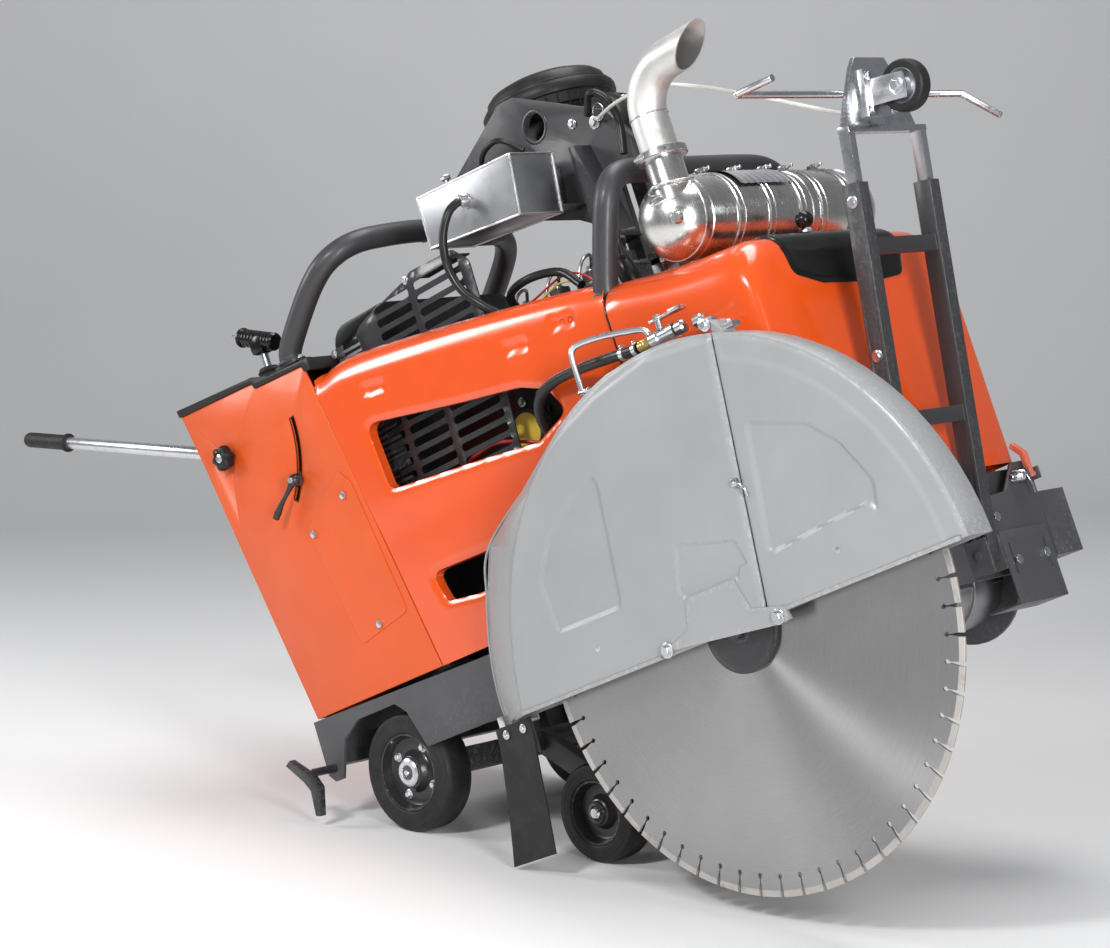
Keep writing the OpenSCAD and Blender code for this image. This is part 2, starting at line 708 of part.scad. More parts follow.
module front_wheel() {
    wheel(front_axle, front_r, front_face_y, 12.7 + fit, 22);
    difference() {
        y_cyl(front_axle, front_face_y - 70, front_face_y - 5, 26);
        y_cyl(front_axle, front_face_y - 71, front_face_y, 12.7 + fit);
    }
}

module front_wheel_left() stood() color(black) front_wheel();
module front_wheel_right() stood() color(black) mirror([0, 1, 0]) front_wheel();

// straight link between two pivots
module link(a, b, w, y0, y1) {
    n = w / 2 * unit([-(b - a)[1], (b - a)[0]]);
    slab(y0, y1) polygon([a - n, b - n, b + n, a + n]);
    y_cyl(a, y0, y1, w / 2);
    y_cyl(b, y0, y1, w / 2);
}

module lift_frame() stood() color(frame_grey) {
    y_cyl(lift_pivot, -172, 172, 15);
    y_cyl(lift_pivot, -148, 148, 24);
    y_cyl(front_axle, -166, 166, 26);
    both_sides() {
        link(lift_pivot, front_axle, 48, 115, 140);
        link(lift_pivot, lift_pin, 36, 14, 24);
        y_cyl(front_axle, 160, 244, 12.7);
    }
    y_cyl(lift_pin, -23, 23, 8);
}

module lift_barrel() stood() color(black) along_cylinder() difference() {
    union() {
        rotate([0, 90, 0]) translate([0, 0, 22]) cylinder(h = 228, r = 30, $fn = round_fn);
        rotate([-90, 0, 0]) translate([0, 0, -15]) cylinder(h = 30, r = 26, $fn = round_fn);
    }
    rotate([-90, 0, 0]) translate([0, 0, -16]) cylinder(h = 32, r = 10 + fit, $fn = round_fn);
    rotate([0, 90, 0]) translate([0, 0, 32]) cylinder(h = 228, r = 12 + fit, $fn = round_fn);
}

pin_play = 10;

module lift_rod() stood() color(zinc) along_cylinder() difference() {
    union() {
        rotate([0, 90, 0]) translate([0, 0, 120])
            cylinder(h = cylinder_len - 140, r = 12, $fn = round_fn);
        translate([cylinder_len, 0, 0]) rotate([-90, 0, 0]) translate([0, 0, -10])
            cylinder(h = 20, r = 30, $fn = round_fn);
    }
    translate([cylinder_len, 0, 0]) rotate([-90, 0, 0]) translate([0, 0, -13])
        cylinder(h = 26, r = 8 + pin_play, $fn = round_fn);
}

// ---- handles and controls ------------------------------------------------

sleeve_r = 19;

module handle_yoke() stood() color(steel) {
    y_cyl(handle_pivot, -handle_y + sleeve_r - 3, handle_y - sleeve_r + 3, 12);
    both_sides() {
        difference() {
            along_handle(handle_y) rotate([0, 90, 0]) translate([0, 0, -40])
                cylinder(h = 125, r = sleeve_r, $fn = round_fn);
            along_handle(handle_y) rotate([0, 90, 0]) translate([0, 0, -41])
                cylinder(h = 127, r = handle_d / 2 + fit, $fn = round_fn);
        }
        y_cyl(handle_pivot, handle_y + sleeve_r - 2, half_w + 6, 12);
    }
    difference() {
        link(handle_pivot, lever_c, 30, -half_w + 7, -half_w + 11);
        y_cyl(lever_c, -half_w, -half_w + 12, 6 + fit);
    }
}

grip_len = 158;
inner_end = -30;

module handle_tube(y) along_handle(y) rotate([0, 90, 0]) translate([0, 0, inner_end])
    cylinder(h = handle_len - 6 - inner_end, r = handle_d / 2, $fn = round_fn);

module handle_grip(y) along_handle(y) rotate([0, 90, 0]) difference() {
    union() {
        translate([0, 0, handle_len - grip_len]) cylinder(h = grip_len, r = 18, $fn = round_fn);
        translate([0, 0, handle_len - grip_len]) cylinder(h = 5, r = 22, $fn = round_fn);
    }
    translate([0, 0, handle_len - grip_len - 1])
        cylinder(h = grip_len - 5, r = handle_d / 2, $fn = round_fn);
}

module right_handle() stood() color(zinc) handle_tube(-handle_y);
module left_handle() stood() color(zinc) handle_tube(handle_y);
module right_grip() stood() color(black) handle_grip(-handle_y);
module left_grip() stood() color(black) handle_grip(handle_y);

module pivot_knob() stood() color(black) difference() {
    union() {
        y_cyl(handle_pivot, -half_w - 30, -half_w - 1, 25);
        for (a = [0:60:300])
            y_cyl(handle_pivot + 21 * [cos(a), sin(a)], -half_w - 28, -half_w - 8, 9);
    }
    y_cyl(handle_pivot, -half_w - 10, -half_w + 1, 12 + fit);
}

lever_c = handle_pivot + slot_r * [cos(-30.4), sin(-30.4)];
lever_aim = [-0.78, -0.62];

module ratchet_lever() stood() color(black) {
    y_cyl(lever_c, -half_w - 24, -half_w - 4, 14);
    y_cyl(lever_c, -half_w - 20, -half_w + 17, 6);
    y_cyl(lever_c, -half_w + 12, -half_w + 17, 12);
    slab(-half_w - 22, -half_w - 12)
        polygon([lever_c + [-4, 8], lever_c + [4, -8], lever_c + 92 * lever_aim + [4, -5],
            lever_c + 92 * lever_aim + [-4, 5]]);
    y_cyl(lever_c + 92 * lever_aim, -half_w - 24, -half_w - 10, 8);
}

module speed_lever() stood() color(black) {
    translate([-1262, -200, 936]) cylinder(h = 68, r = 9, $fn = 32);
    translate([-1262, -200, 936]) sphere(r = 16, $fn = 32);
    translate([-1318, -200, 1047]) rotate([0, 115, 0]) cylinder(h = 116, r = 20, $fn = round_fn);
    translate([-1318, -200, 1047]) rotate([0, 115, 0]) cylinder(h = 6, r = 23, $fn = round_fn);
    translate([-1262, -200, 1000]) sphere(r = 20, $fn = 32);
}

module lift_switch() stood() color(zinc) translate([-1318, -200, 1047]) rotate([0, 115, 0]) {
    translate([0, 0, -9]) sphere(r = 6, $fn = 32);
    translate([0, 0, -32]) cylinder(h = 23, r = 4, $fn = 24);
}

shift_pivot = [134, -8, 664];

module shift_lever() stood() color(zinc) {
    translate(shift_pivot) cylinder(h = 68, r = 6, $fn = 24);
    translate(shift_pivot) sphere(r = 13, $fn = 32);
    color(black) translate(shift_pivot + [0, 0, 73]) sphere(r = 18, $fn = 32);
}

module hood_latch() stood() color([0.85, 0.4, 0.3]) {
    y_cyl(latch_pivot, latch_y - 17, latch_y + 25, 6);
    slab(latch_y, latch_y + 14)
        polygon([[233, 147], [233, 190], [214, 212], [221, 220], [243, 195], [243, 147]]);
}

module panel_bolts() stood() color(zinc) {
    for (p = [[-1021, 587], [-1145, 540], [-1026, 302]])
        translate([p[0], -half_w - 3, p[1]]) rotate([90, 0, 0]) hex_bolt(9, 6);
    for (p = [[170, 10], [264, 14], [150, 100]])
        translate([cover_x + (p[1] > 60 ? 0 : 4), p[0], p[1] - 20]) rotate([0, 90, 0]) hex_bolt(10, 7);
    translate([-157, guard_y[0] - 4, -5 + 12]) rotate([90, 0, 0]) hex_bolt(10, 6);
    translate([125, guard_y[0] - 4, -11]) rotate([90, 0, 0]) hex_bolt(10, 6);
}

module rear_pointer() stood() color(black) {
    y_cyl([-1300, 56], -372, -half_w - 0.5, 9);
    slab(-388, -372) polygon([[-1362, 90], [-1346, 98], [-1290, 50], [-1276, 20],
        [-1298, -38], [-1312, -34], [-1306, 20], [-1320, 44]]);
}

// ---- pointer -------------------------------------------------------------

ladder_len = 725;

module pointer_ladder() stood() color(frame_grey) on_ladder() {
    for (s = [-1, 1])
        difference() {
            translate([-20, s * ladder_y - 15, -14]) cube([40, 30, ladder_len + 14]);
            translate([-15, s * ladder_y - 10, 330]) cube([30, 20, ladder_len]);
            translate([0, s * ladder_y + 20, 0]) rotate([90, 0, 0])
                cylinder(h = 40, r = 8 + fit, $fn = round_fn);
        }
    for (z = [260, 590])
        translate([-12, -ladder_y + 14, z]) cube([24, 2 * ladder_y - 28, 30]);
}

head_top = 965;

module pointer_head() stood() color(zinc) on_ladder() {
    for (s = [-1, 1])
        translate([-12, s * ladder_y - 9.5, 560]) cube([24, 19, 270]);
    difference() {
        union() {
            translate([-14, -ladder_y - 9.5, 820]) cube([28, 2 * ladder_y + 19, 12]);
            translate([-14, 0, 0]) rotate([90, 0, 90]) linear_extrude(10)
                polygon([[-119, 820], [119, 820], [95, 870], [60, 945], [45, head_top],
                    [-45, head_top], [-60, 945], [-95, 870]]);
        }
        translate([-20, 0, 895]) rotate([90, 0, 90]) cylinder(h = 20, r = 22, $fn = 32);
    }
    // caster plate, fork and axle
    translate([-4.1, -45, 850]) cube([14, 90, 90]);
    for (y = [-27, 21])
        translate([8, y, 870]) cube([78, 6, 50]);
    translate([70, -28, 895]) rotate([-90, 0, 0]) cylinder(h = 56, r = 6, $fn = 32);
    // socket for the pointer rod
    translate([-26, -60, 885]) difference() {
        cube([14, 120, 26]);
        translate([5, -1, 13]) rotate([-90, 0, 0]) cylinder(h = 122, r = 7 + fit, $fn = round_fn);
    }
}

module caster_wheel() stood() color(black) on_ladder() difference() {
    union() {
        translate([70, -16, 895]) rotate([-90, 0, 0]) cylinder(h = 32, r = 50, $fn = 64);
        translate([70, -19, 895]) rotate([-90, 0, 0]) cylinder(h = 38, r = 18, $fn = round_fn);
    }
    translate([70, -40, 895]) rotate([-90, 0, 0]) cylinder(h = 80, r = 6 + fit, $fn = 32);
}

module pointer_rod() stood() color(zinc) on_ladder() translate([-21, 0, 898]) {
    rotate([90, 0, 0]) translate([0, 0, -297]) cylinder(h = 680, r = 7, $fn = 32);
    translate([0, -383, 0]) sphere(r = 7.5, $fn = 32);
    translate([0, -383, 0]) rotate([0, 82, 0]) cylinder(h = 88, r = 7, $fn = 32);
    translate([0, 297, 0]) sphere(r = 7.5, $fn = 32);
    translate([0, 297, 0]) rotate([0, 128, 12]) cylinder(h = 96, r = 7, $fn = 32);
}

module pointer_rope() stood() color([0.8, 0.8, 0.78]) tube(cut(rope_route), 4, 8);

main_frame();
front_plate();
console_shell();
console_tray();
access_panel();
cowl_right();
cowl_left();
front_hood();
hood_inset();
radiator_grille();
radiator();
engine_block();
air_cleaner();
precleaner();
lift_plate();
rear_hoop();
front_hoop();
coolant_tank();
coolant_hose();
muffler();
exhaust_clamps();
exhaust_elbow();
spindle_housing();
guard_rear();
guard_bail();
water_valve();
water_hose();
splash_flap();
drive_belts();
battery_box();
panel_bolts();
handle_yoke();
right_handle();
right_grip();
left_handle();
left_grip();
pivot_knob();
ratchet_lever();
speed_lever();
lift_switch();
guard_front();
blade();
blade_flanges();
blade_shaft();
drive_pulley();
rear_wheel_right();
rear_wheel_left();
front_wheel_right();
front_wheel_left();
lift_frame();
lift_barrel();
lift_rod();
pointer_ladder();
pointer_head();
caster_wheel();
pointer_rod();
hood_latch();
shift_lever();
rear_pointer();
pointer_rope();
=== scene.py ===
import json
import math
import random

import bmesh
import bpy
import numpy as np
from mathutils import Matrix, Vector
from mathutils.geometry import delaunay_2d_cdt


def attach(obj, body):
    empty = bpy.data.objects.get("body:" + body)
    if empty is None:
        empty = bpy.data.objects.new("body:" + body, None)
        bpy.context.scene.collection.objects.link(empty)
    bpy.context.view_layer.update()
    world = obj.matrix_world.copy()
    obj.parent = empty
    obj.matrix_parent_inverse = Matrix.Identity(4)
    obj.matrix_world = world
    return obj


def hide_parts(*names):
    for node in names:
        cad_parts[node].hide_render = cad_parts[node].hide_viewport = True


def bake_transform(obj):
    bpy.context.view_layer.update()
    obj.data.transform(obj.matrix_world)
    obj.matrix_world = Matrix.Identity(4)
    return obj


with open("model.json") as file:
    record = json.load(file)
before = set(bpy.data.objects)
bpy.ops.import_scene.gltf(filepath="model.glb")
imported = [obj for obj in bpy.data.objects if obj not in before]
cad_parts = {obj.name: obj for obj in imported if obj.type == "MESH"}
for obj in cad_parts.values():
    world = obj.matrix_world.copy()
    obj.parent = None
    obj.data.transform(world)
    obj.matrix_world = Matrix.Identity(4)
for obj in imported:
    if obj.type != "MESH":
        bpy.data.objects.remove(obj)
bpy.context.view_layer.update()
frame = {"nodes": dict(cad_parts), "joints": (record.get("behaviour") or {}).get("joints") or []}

# ---------------------------------------------------------------------------
# The machine's own axes: millimetres from the blade-shaft axis, +X forward
# along the skirt, +Y left, +Z up from the chassis. The frame's joints give
# where that is and how far the nose is raised.

MM = 0.001
REAR_AXLE = (-1095.0, -10.0)
FRONT_AXLE = (-648.0, -220.0)
BLADE_Y = -390.0
BODY_HALF = 310.0
GUARD_NEAR = -425.0
GUARD_BACK = -355.0
GUARD_C = (-5.0, -36.0)
GUARD_R = 580.0
SPLIT_TOP = (169.0, 517.0)
SPLIT_LOW = (95.0, -5.0)
HINGE_TOP = (160.0, 535.0)
HANDLE_PIVOT = (-1348.0, 783.0)
SHIFT_PIVOT = (134, -8, 664)
HANDLE_ANGLE = math.radians(21.8)
HANDLE_Y = 278.0
HANDLE_LEN = 779.0
MUFFLER = (4.0, 799.0)
MUFFLER_R = 83.0
LADDER_PIVOT = (208.0, 15.0)
LADDER_LEAN = math.radians(11.3)
CRANK = (-430.0, 330.0)

joints = {j["name"]: j for j in frame["joints"]}
shaft = Vector(joints["blade_spin"]["pos_m"])
axle = Vector(joints["rear_wheel_left_spin"]["pos_m"])
run = shaft - axle
PITCH = math.atan2(run.z, run.x) - math.atan2(-REAR_AXLE[1], -REAR_AXLE[0])
TO_ROW = (Matrix.Translation(shaft) @ Matrix.Rotation(-PITCH, 4, "Y")
          @ Matrix.Scale(MM, 4))


def at(x, y, z):
    """A machine point, in millimetres, as a row-frame point in metres."""
    return TO_ROW @ Vector((x, y, z))


def toward(x, y, z):
    """A machine direction in the row frame."""
    return (TO_ROW.to_3x3() @ Vector((x, y, z))).normalized()


def on_ladder(x, y, z):
    """A point in the pointer ladder's axes as a machine point."""
    c, s = math.cos(LADDER_LEAN), math.sin(LADDER_LEAN)
    return (LADDER_PIVOT[0] + x * c + z * s, y, LADDER_PIVOT[1] - x * s + z * c)


def on_handle(y, s, side=0.0, up=0.0):
    """A point a distance s out along a handle's axis, as a machine point."""
    c, n = math.cos(HANDLE_ANGLE), math.sin(HANDLE_ANGLE)
    return (HANDLE_PIVOT[0] - s * c + up * n, y + side, HANDLE_PIVOT[1] + s * n + up * c)


# ---------------------------------------------------------------------------
# Camera: low three-quarter view from the front right, with a long lens

CAMERA_AT = (3567, -4510, -489)
LOOK = (-0.6796, 0.7166, 0.1569)
PICTURE_DOWN = (-0.3179, -0.0950, -0.9433)
SENSOR = 36.0
LENS = 96.3


def make_camera():
    cam = bpy.data.cameras.new("camera")
    cam.sensor_width = SENSOR
    cam.sensor_fit = "HORIZONTAL"
    cam.lens = LENS
    cam.clip_end = 60
    obj = bpy.data.objects.new("camera", cam)
    back = -toward(*LOOK)
    up = -toward(*PICTURE_DOWN)
    right = up.cross(back).normalized()
    up = back.cross(right).normalized()
    m = Matrix((right, up, back)).transposed().to_4x4()
    m.translation = at(*CAMERA_AT)
    obj.matrix_world = m
    bpy.context.scene.collection.objects.link(obj)
    bpy.context.scene.camera = obj


make_camera()

# ---------------------------------------------------------------------------
# Materials


class Nodes:
    """A material's node tree with short calls for the nodes used here."""

    def __init__(self, name):
        self.mat = bpy.data.materials.new(name)
        self.mat.use_nodes = True
        self.tree = self.mat.node_tree
        self.shader = self.tree.nodes["Principled BSDF"]
        self.coord = self.tree.nodes.new("ShaderNodeTexCoord").outputs["Object"]

    def set(self, **values):
        for key, value in values.items():
            self.shader.inputs[key.replace("_", " ")].default_value = value
        return self

    def link(self, a, b):
        self.tree.links.new(a, b)

    def stretched(self, scale):
        n = self.tree.nodes.new("ShaderNodeMapping")
        n.inputs["Scale"].default_value = scale
        self.link(self.coord, n.inputs["Vector"])
        return n.outputs[0]

    def noise(self, scale, detail=4, rough=0.55, vector=None):
        n = self.tree.nodes.new("ShaderNodeTexNoise")
        n.inputs["Scale"].default_value = scale
        n.inputs["Detail"].default_value = detail
        n.inputs["Roughness"].default_value = rough
        self.link(vector or self.coord, n.inputs["Vector"])
        return n.outputs["Fac"]

    def ramp(self, value, low, high, a, b):
        """Maps value from low..high to colours or numbers a..b."""
        n = self.tree.nodes.new("ShaderNodeValToRGB")
        for stop, place, colour in zip(n.color_ramp.elements, (low, high), (a, b)):
            stop.position = place
            grey = (colour,) * 3 if isinstance(colour, (int, float)) else colour
            stop.color = (*grey[:3], 1)
        self.link(value, n.inputs[0])
        return n.outputs[0]

    def mix(self, fac, a, b):
        n = self.tree.nodes.new("ShaderNodeMix")
        n.data_type = "RGBA"
        for socket, value in ((n.inputs[0], fac), (n.inputs[6], a), (n.inputs[7], b)):
            if isinstance(value, tuple):
                socket.default_value = (*value[:3], 1)
            elif isinstance(value, (int, float)):
                socket.default_value = value
            else:
                self.link(value, socket)
        return n.outputs[2]

    def maths(self, op, a, b=0.5):
        n = self.tree.nodes.new("ShaderNodeMath")
        n.operation = op
        for socket, value in zip(n.inputs, (a, b)):
            if isinstance(value, (int, float)):
                socket.default_value = value
            else:
                self.link(value, socket)
        return n.outputs[0]

    def edges(self, low=0.52, high=0.6):
        """1 on sharp outer edges, 0 on flats."""
        n = self.tree.nodes.new("ShaderNodeNewGeometry")
        return self.ramp(n.outputs["Pointiness"], low, high, 0.0, 1.0)

    def bump(self, height, strength, distance=0.001):
        n = self.tree.nodes.new("ShaderNodeBump")
        n.inputs["Strength"].default_value = strength
        n.inputs["Distance"].default_value = distance
        old = self.shader.inputs["Normal"].links
        if old:
            self.link(old[0].from_socket, n.inputs["Normal"])
        self.link(height, n.inputs["Height"])
        self.link(n.outputs[0], self.shader.inputs["Normal"])
        return self

    def colour(self, socket):
        self.link(socket, self.shader.inputs["Base Color"])
        return self

    def roughness(self, socket):
        self.link(socket, self.shader.inputs["Roughness"])
        return self


def paint(name, base, rough=0.3, coat=0.3, orange_peel=0.05, dust=0.06, chip=None):
    """Sprayed or moulded colour with faint mottling, dust and worn edges."""
    n = Nodes(name)
    n.set(Metallic=0.0, Coat_Weight=coat, Coat_Roughness=0.12)
    dark = tuple(c * 0.86 for c in base)
    light = tuple(min(1, c * 1.06 + 0.004) for c in base)
    shade = n.mix(n.noise(6, 5), dark, light)
    speck = n.ramp(n.noise(38, 8, 0.7), 0.55, 0.82, 0.0, 1.0)
    shade = n.mix(n.maths("MULTIPLY", speck, dust), shade, (0.55, 0.52, 0.48))
    if chip:
        worn = n.maths("MULTIPLY", n.edges(0.53, 0.6),
                       n.ramp(n.noise(120, 5, 0.7), 0.52, 0.64, 0.0, 1.0))
        shade = n.mix(worn, shade, chip)
    n.colour(shade)
    n.roughness(n.ramp(n.noise(14, 6), 0.3, 0.75, rough * 0.85, rough * 1.25))
    n.bump(n.noise(420, 2), orange_peel)
    return n.mat


def metal(name, base, rough=0.28, brush=(1, 1, 1), brush_scale=300, depth=0.08, stain=None):
    """Bare or plated metal: brushed grain, cloudy roughness and faint stains."""
    n = Nodes(name)
    n.set(Metallic=1.0)
    grain = n.noise(brush_scale, 3, 0.6, n.stretched(brush))
    cloud = n.noise(9, 6, 0.6)
    shade = n.mix(cloud, tuple(c * 0.8 for c in base), tuple(min(1, c * 1.1) for c in base))
    if stain:
        mark = n.ramp(n.noise(17, 7, 0.7), 0.56, 0.74, 0.0, 0.8)
        shade = n.mix(mark, shade, stain)
    n.colour(n.mix(n.maths("MULTIPLY", grain, 0.22), shade, tuple(c * 0.55 for c in base)))
    n.roughness(n.ramp(n.maths("ADD", n.maths("MULTIPLY", grain, 0.4), n.maths("MULTIPLY", cloud, 0.6)),
                       0.3, 0.75, rough * 0.7, min(1.0, rough * 1.5)))
    n.bump(grain, depth, 0.0005)
    return n.mat


def soft_black(name, base=0.02, rough=0.5, grain=700, depth=0.12, dusty=0.1):
    """Moulded plastic or rubber: fine leather-like grain with pale dust."""
    n = Nodes(name)
    n.set(Metallic=0.0, Specular_IOR_Level=0.32)
    dust = n.ramp(n.noise(21, 8, 0.72), 0.5, 0.8, 0.0, 1.0)
    tone = n.mix(n.noise(8, 4), (base * 0.7,) * 3, (base * 1.5,) * 3)
    n.colour(n.mix(n.maths("MULTIPLY", dust, dusty), tone, (0.3, 0.29, 0.27)))
    n.roughness(n.ramp(n.noise(30, 6), 0.3, 0.7, rough * 0.8, min(1.0, rough * 1.3)))
    cells = n.tree.nodes.new("ShaderNodeTexVoronoi")
    cells.inputs["Scale"].default_value = grain
    n.link(n.coord, cells.inputs["Vector"])
    n.bump(cells.outputs["Distance"], depth, 0.0004)
    return n.mat


ORANGE = (0.7, 0.075, 0.005)
M = {
    "cowl": paint("orange_cowl", ORANGE, 0.22, 0.6, 0.03, 0.02),
    "console": paint("orange_console", (0.64, 0.085, 0.01), 0.42, 0.1, 0.07, 0.03, (0.55, 0.1, 0.03)),
    "frame": paint("frame_grey", (0.06, 0.06, 0.064), 0.47, 0.05, 0.12, 0.04, (0.2, 0.2, 0.21)),
    "hoop": paint("hoop_grey", (0.032, 0.032, 0.035), 0.46, 0.08, 0.1, 0.03, (0.11, 0.11, 0.115)),
    "guard": paint("guard_grey", (0.28, 0.287, 0.29), 0.4, 0.1, 0.1, 0.03, (0.46, 0.46, 0.46)),
    "black_paint": paint("black_paint", (0.014, 0.014, 0.016), 0.33, 0.15, 0.08, 0.05, (0.2, 0.2, 0.2)),
    "casting": paint("engine_casting", (0.02, 0.02, 0.022), 0.5, 0.0, 0.5, 0.12, (0.3, 0.3, 0.3)),
    "spindle": metal("machined_casting", (0.33, 0.33, 0.34), 0.42, (1, 1, 1), 160, 0.25),
    "zinc": metal("zinc_plate", (0.72, 0.73, 0.76), 0.27, (1, 1, 1), 90, 0.1, (0.5, 0.47, 0.4)),
    "stainless": metal("stainless", (0.74, 0.73, 0.71), 0.25, (1, 14, 1), 60, 0.05, (0.42, 0.36, 0.3)),
    "blasted": metal("blasted_steel", (0.8, 0.79, 0.77), 0.48, (1, 3, 1), 120, 0.1, (0.5, 0.47, 0.42)),
    "steel": metal("plain_steel", (0.5, 0.5, 0.51), 0.33, (1, 1, 1), 150, 0.1, (0.3, 0.26, 0.22)),
    "aluminium": metal("brushed_aluminium", (0.5, 0.51, 0.53), 0.36, (1.5, 1, 12), 90, 0.12, (0.32, 0.31, 0.3)),
    "weld": metal("weld_bead", (0.8, 0.8, 0.8), 0.3, (1, 1, 1), 400, 0.5),
    "brass": metal("brass", (0.72, 0.52, 0.2), 0.26, (1, 1, 1), 150, 0.08, (0.4, 0.25, 0.1)),
    "plastic": soft_black("black_plastic", 0.011, 0.44, 900, 0.12, 0.04),
    "gloss_black": soft_black("gloss_black", 0.008, 0.2, 300, 0.02, 0.02),
    "rubber": soft_black("black_rubber", 0.013, 0.55, 500, 0.15, 0.06),
    "tyre": soft_black("tyre_rubber", 0.012, 0.52, 350, 0.2, 0.06),
    "hose": soft_black("hose_rubber", 0.011, 0.32, 800, 0.08, 0.04),
    "latch": paint("latch_red", (0.62, 0.13, 0.07), 0.5, 0.0, 0.2, 0.1, (0.7, 0.7, 0.72)),
    "yellow": paint("yellow_cap", (0.7, 0.5, 0.05), 0.4, 0.1, 0.1, 0.05),
    "red_wire": paint("red_wire", (0.5, 0.03, 0.03), 0.4, 0.1, 0.05, 0.05),
}


def blade_material():
    """Ground disc: rings of fine scratches that spread the light in fans."""
    n = Nodes("blade_core")
    n.set(Metallic=1.0, Anisotropic=0.95, Anisotropic_Rotation=0.0)
    tangent = n.tree.nodes.new("ShaderNodeTangent")
    tangent.direction_type = "UV_MAP"
    n.link(tangent.outputs[0], n.shader.inputs["Tangent"])
    uv = n.tree.nodes.new("ShaderNodeTexCoord").outputs["UV"]
    squeeze = n.tree.nodes.new("ShaderNodeMapping")
    squeeze.inputs["Scale"].default_value = (6, 900, 1)
    n.link(uv, squeeze.inputs["Vector"])
    ring = n.noise(1.0, 3, 0.6, squeeze.outputs[0])
    cloud = n.noise(7, 5)
    tone = n.mix(cloud, (0.32, 0.32, 0.325), (0.4, 0.4, 0.4))
    n.colour(n.mix(n.maths("MULTIPLY", ring, 0.3), tone, (0.3, 0.3, 0.3)))
    n.roughness(n.ramp(ring, 0.3, 0.7, 0.24, 0.36))
    n.bump(ring, 0.04, 0.0003)
    return n.mat


def rope_material():
    n = Nodes("pale_rope")
    n.set(Roughness=0.85, Sheen_Weight=0.3)
    strand = n.noise(500, 4, 0.7)
    n.colour(n.mix(strand, (0.4, 0.39, 0.35), (0.75, 0.74, 0.7)))
    n.bump(strand, 0.5, 0.001)
    return n.mat


M["blade"] = blade_material()
M["rope"] = rope_material()
M["segment"] = metal("diamond_segment", (0.6, 0.57, 0.54), 0.55, (1, 1, 1), 900, 0.8, (0.2, 0.17, 0.12))

# ---------------------------------------------------------------------------
# Mesh builders. They work in machine millimetres and return (points, faces).


def merge(*parts):
    points, faces = [], []
    for p, f in parts:
        base = len(points)
        points += [tuple(q) for q in p]
        faces += [tuple(i + base for i in face) for face in f]
    return points, faces


def axes_for(direction):
    d = Vector(direction).normalized()
    u = Vector((0, 0, 1)) if abs(d.z) < 0.9 else Vector((1, 0, 0))
    u = (u - d * u.dot(d)).normalized()
    return d, u, d.cross(u)


def lathe(profile, base, direction, n=48, closed=True):
    """Turns (radius, height) points about an axis. A radius of 0 closes the end."""
    d, u, v = axes_for(direction)
    base = Vector(base)
    points, faces, rows = [], [], []
    for r, h in profile:
        if r < 1e-6:
            rows.append([len(points)])
            points.append(base + d * h)
            continue
        rows.append(list(range(len(points), len(points) + n)))
        for k in range(n):
            a = 2 * math.pi * k / n
            points.append(base + d * h + r * (math.cos(a) * u + math.sin(a) * v))
    for a, b in zip(rows, rows[1:]):
        for k in range(n):
            k2 = (k + 1) % n
            if len(a) == 1 and len(b) > 1:
                faces.append((a[0], b[k2], b[k]))
            elif len(b) == 1 and len(a) > 1:
                faces.append((a[k], a[k2], b[0]))
            elif len(a) > 1:
                faces.append((a[k], a[k2], b[k2], b[k]))
    return points, faces


def rod(a, b, r, n=24, chamfer=1.0):
    """A straight round bar with chamfered ends."""
    length = (Vector(b) - Vector(a)).length
    c = min(chamfer, r * 0.5, length * 0.3)
    profile = [(0, 0), (r - c, 0), (r, c), (r, length - c), (r - c, length), (0, length)]
    return lathe(profile, a, Vector(b) - Vector(a), n)


def smooth_route(points, steps=6):
    """A Catmull-Rom curve through the points."""
    p = [Vector(q) for q in points]
    p = [2 * p[0] - p[1]] + p + [2 * p[-1] - p[-2]]
    out = []
    for i in range(1, len(p) - 2):
        for s in range(steps):
            t = s / steps
            out.append(0.5 * (2 * p[i] + (p[i + 1] - p[i - 1]) * t
                              + (2 * p[i - 1] - 5 * p[i] + 4 * p[i + 1] - p[i + 2]) * t * t
                              + (3 * p[i] - p[i - 1] - 3 * p[i + 1] + p[i + 2]) * t ** 3))
    out.append(p[-2])
    return out


def cut_corners(points, times=2):
    """Chaikin smoothing, which keeps the ends."""
    p = [Vector(q) for q in points]
    for _ in range(times):
        q = [p[0]]
        for a, b in zip(p, p[1:]):
            q += [a * 0.75 + b * 0.25, a * 0.25 + b * 0.75]
        p = q + [p[-1]]
    return p


def sweep(route, radius, n=20, capped=True):
    """A round tube along the route. radius is a number or one per point."""
    route = [Vector(q) for q in route]
    count = len(route)
    radii = [radius] * count if isinstance(radius, (int, float)) else radius
    points, faces = [], []
    d, u, v = axes_for(route[1] - route[0])
    for i, p in enumerate(route):
        t = (route[min(i + 1, count - 1)] - route[max(i - 1, 0)]).normalized()
        u = (u - t * u.dot(t)).normalized()
        v = t.cross(u)
        for k in range(n):
            a = 2 * math.pi * k / n
            points.append(p + radii[i] * (math.cos(a) * u + math.sin(a) * v))
    for i in range(count - 1):
        for k in range(n):
            k2 = (k + 1) % n
            faces.append((i * n + k, i * n + k2, (i + 1) * n + k2, (i + 1) * n + k))
    if capped:
        faces.append(tuple(range(n - 1, -1, -1)))
        faces.append(tuple((count - 1) * n + k for k in range(n)))
    return points, faces


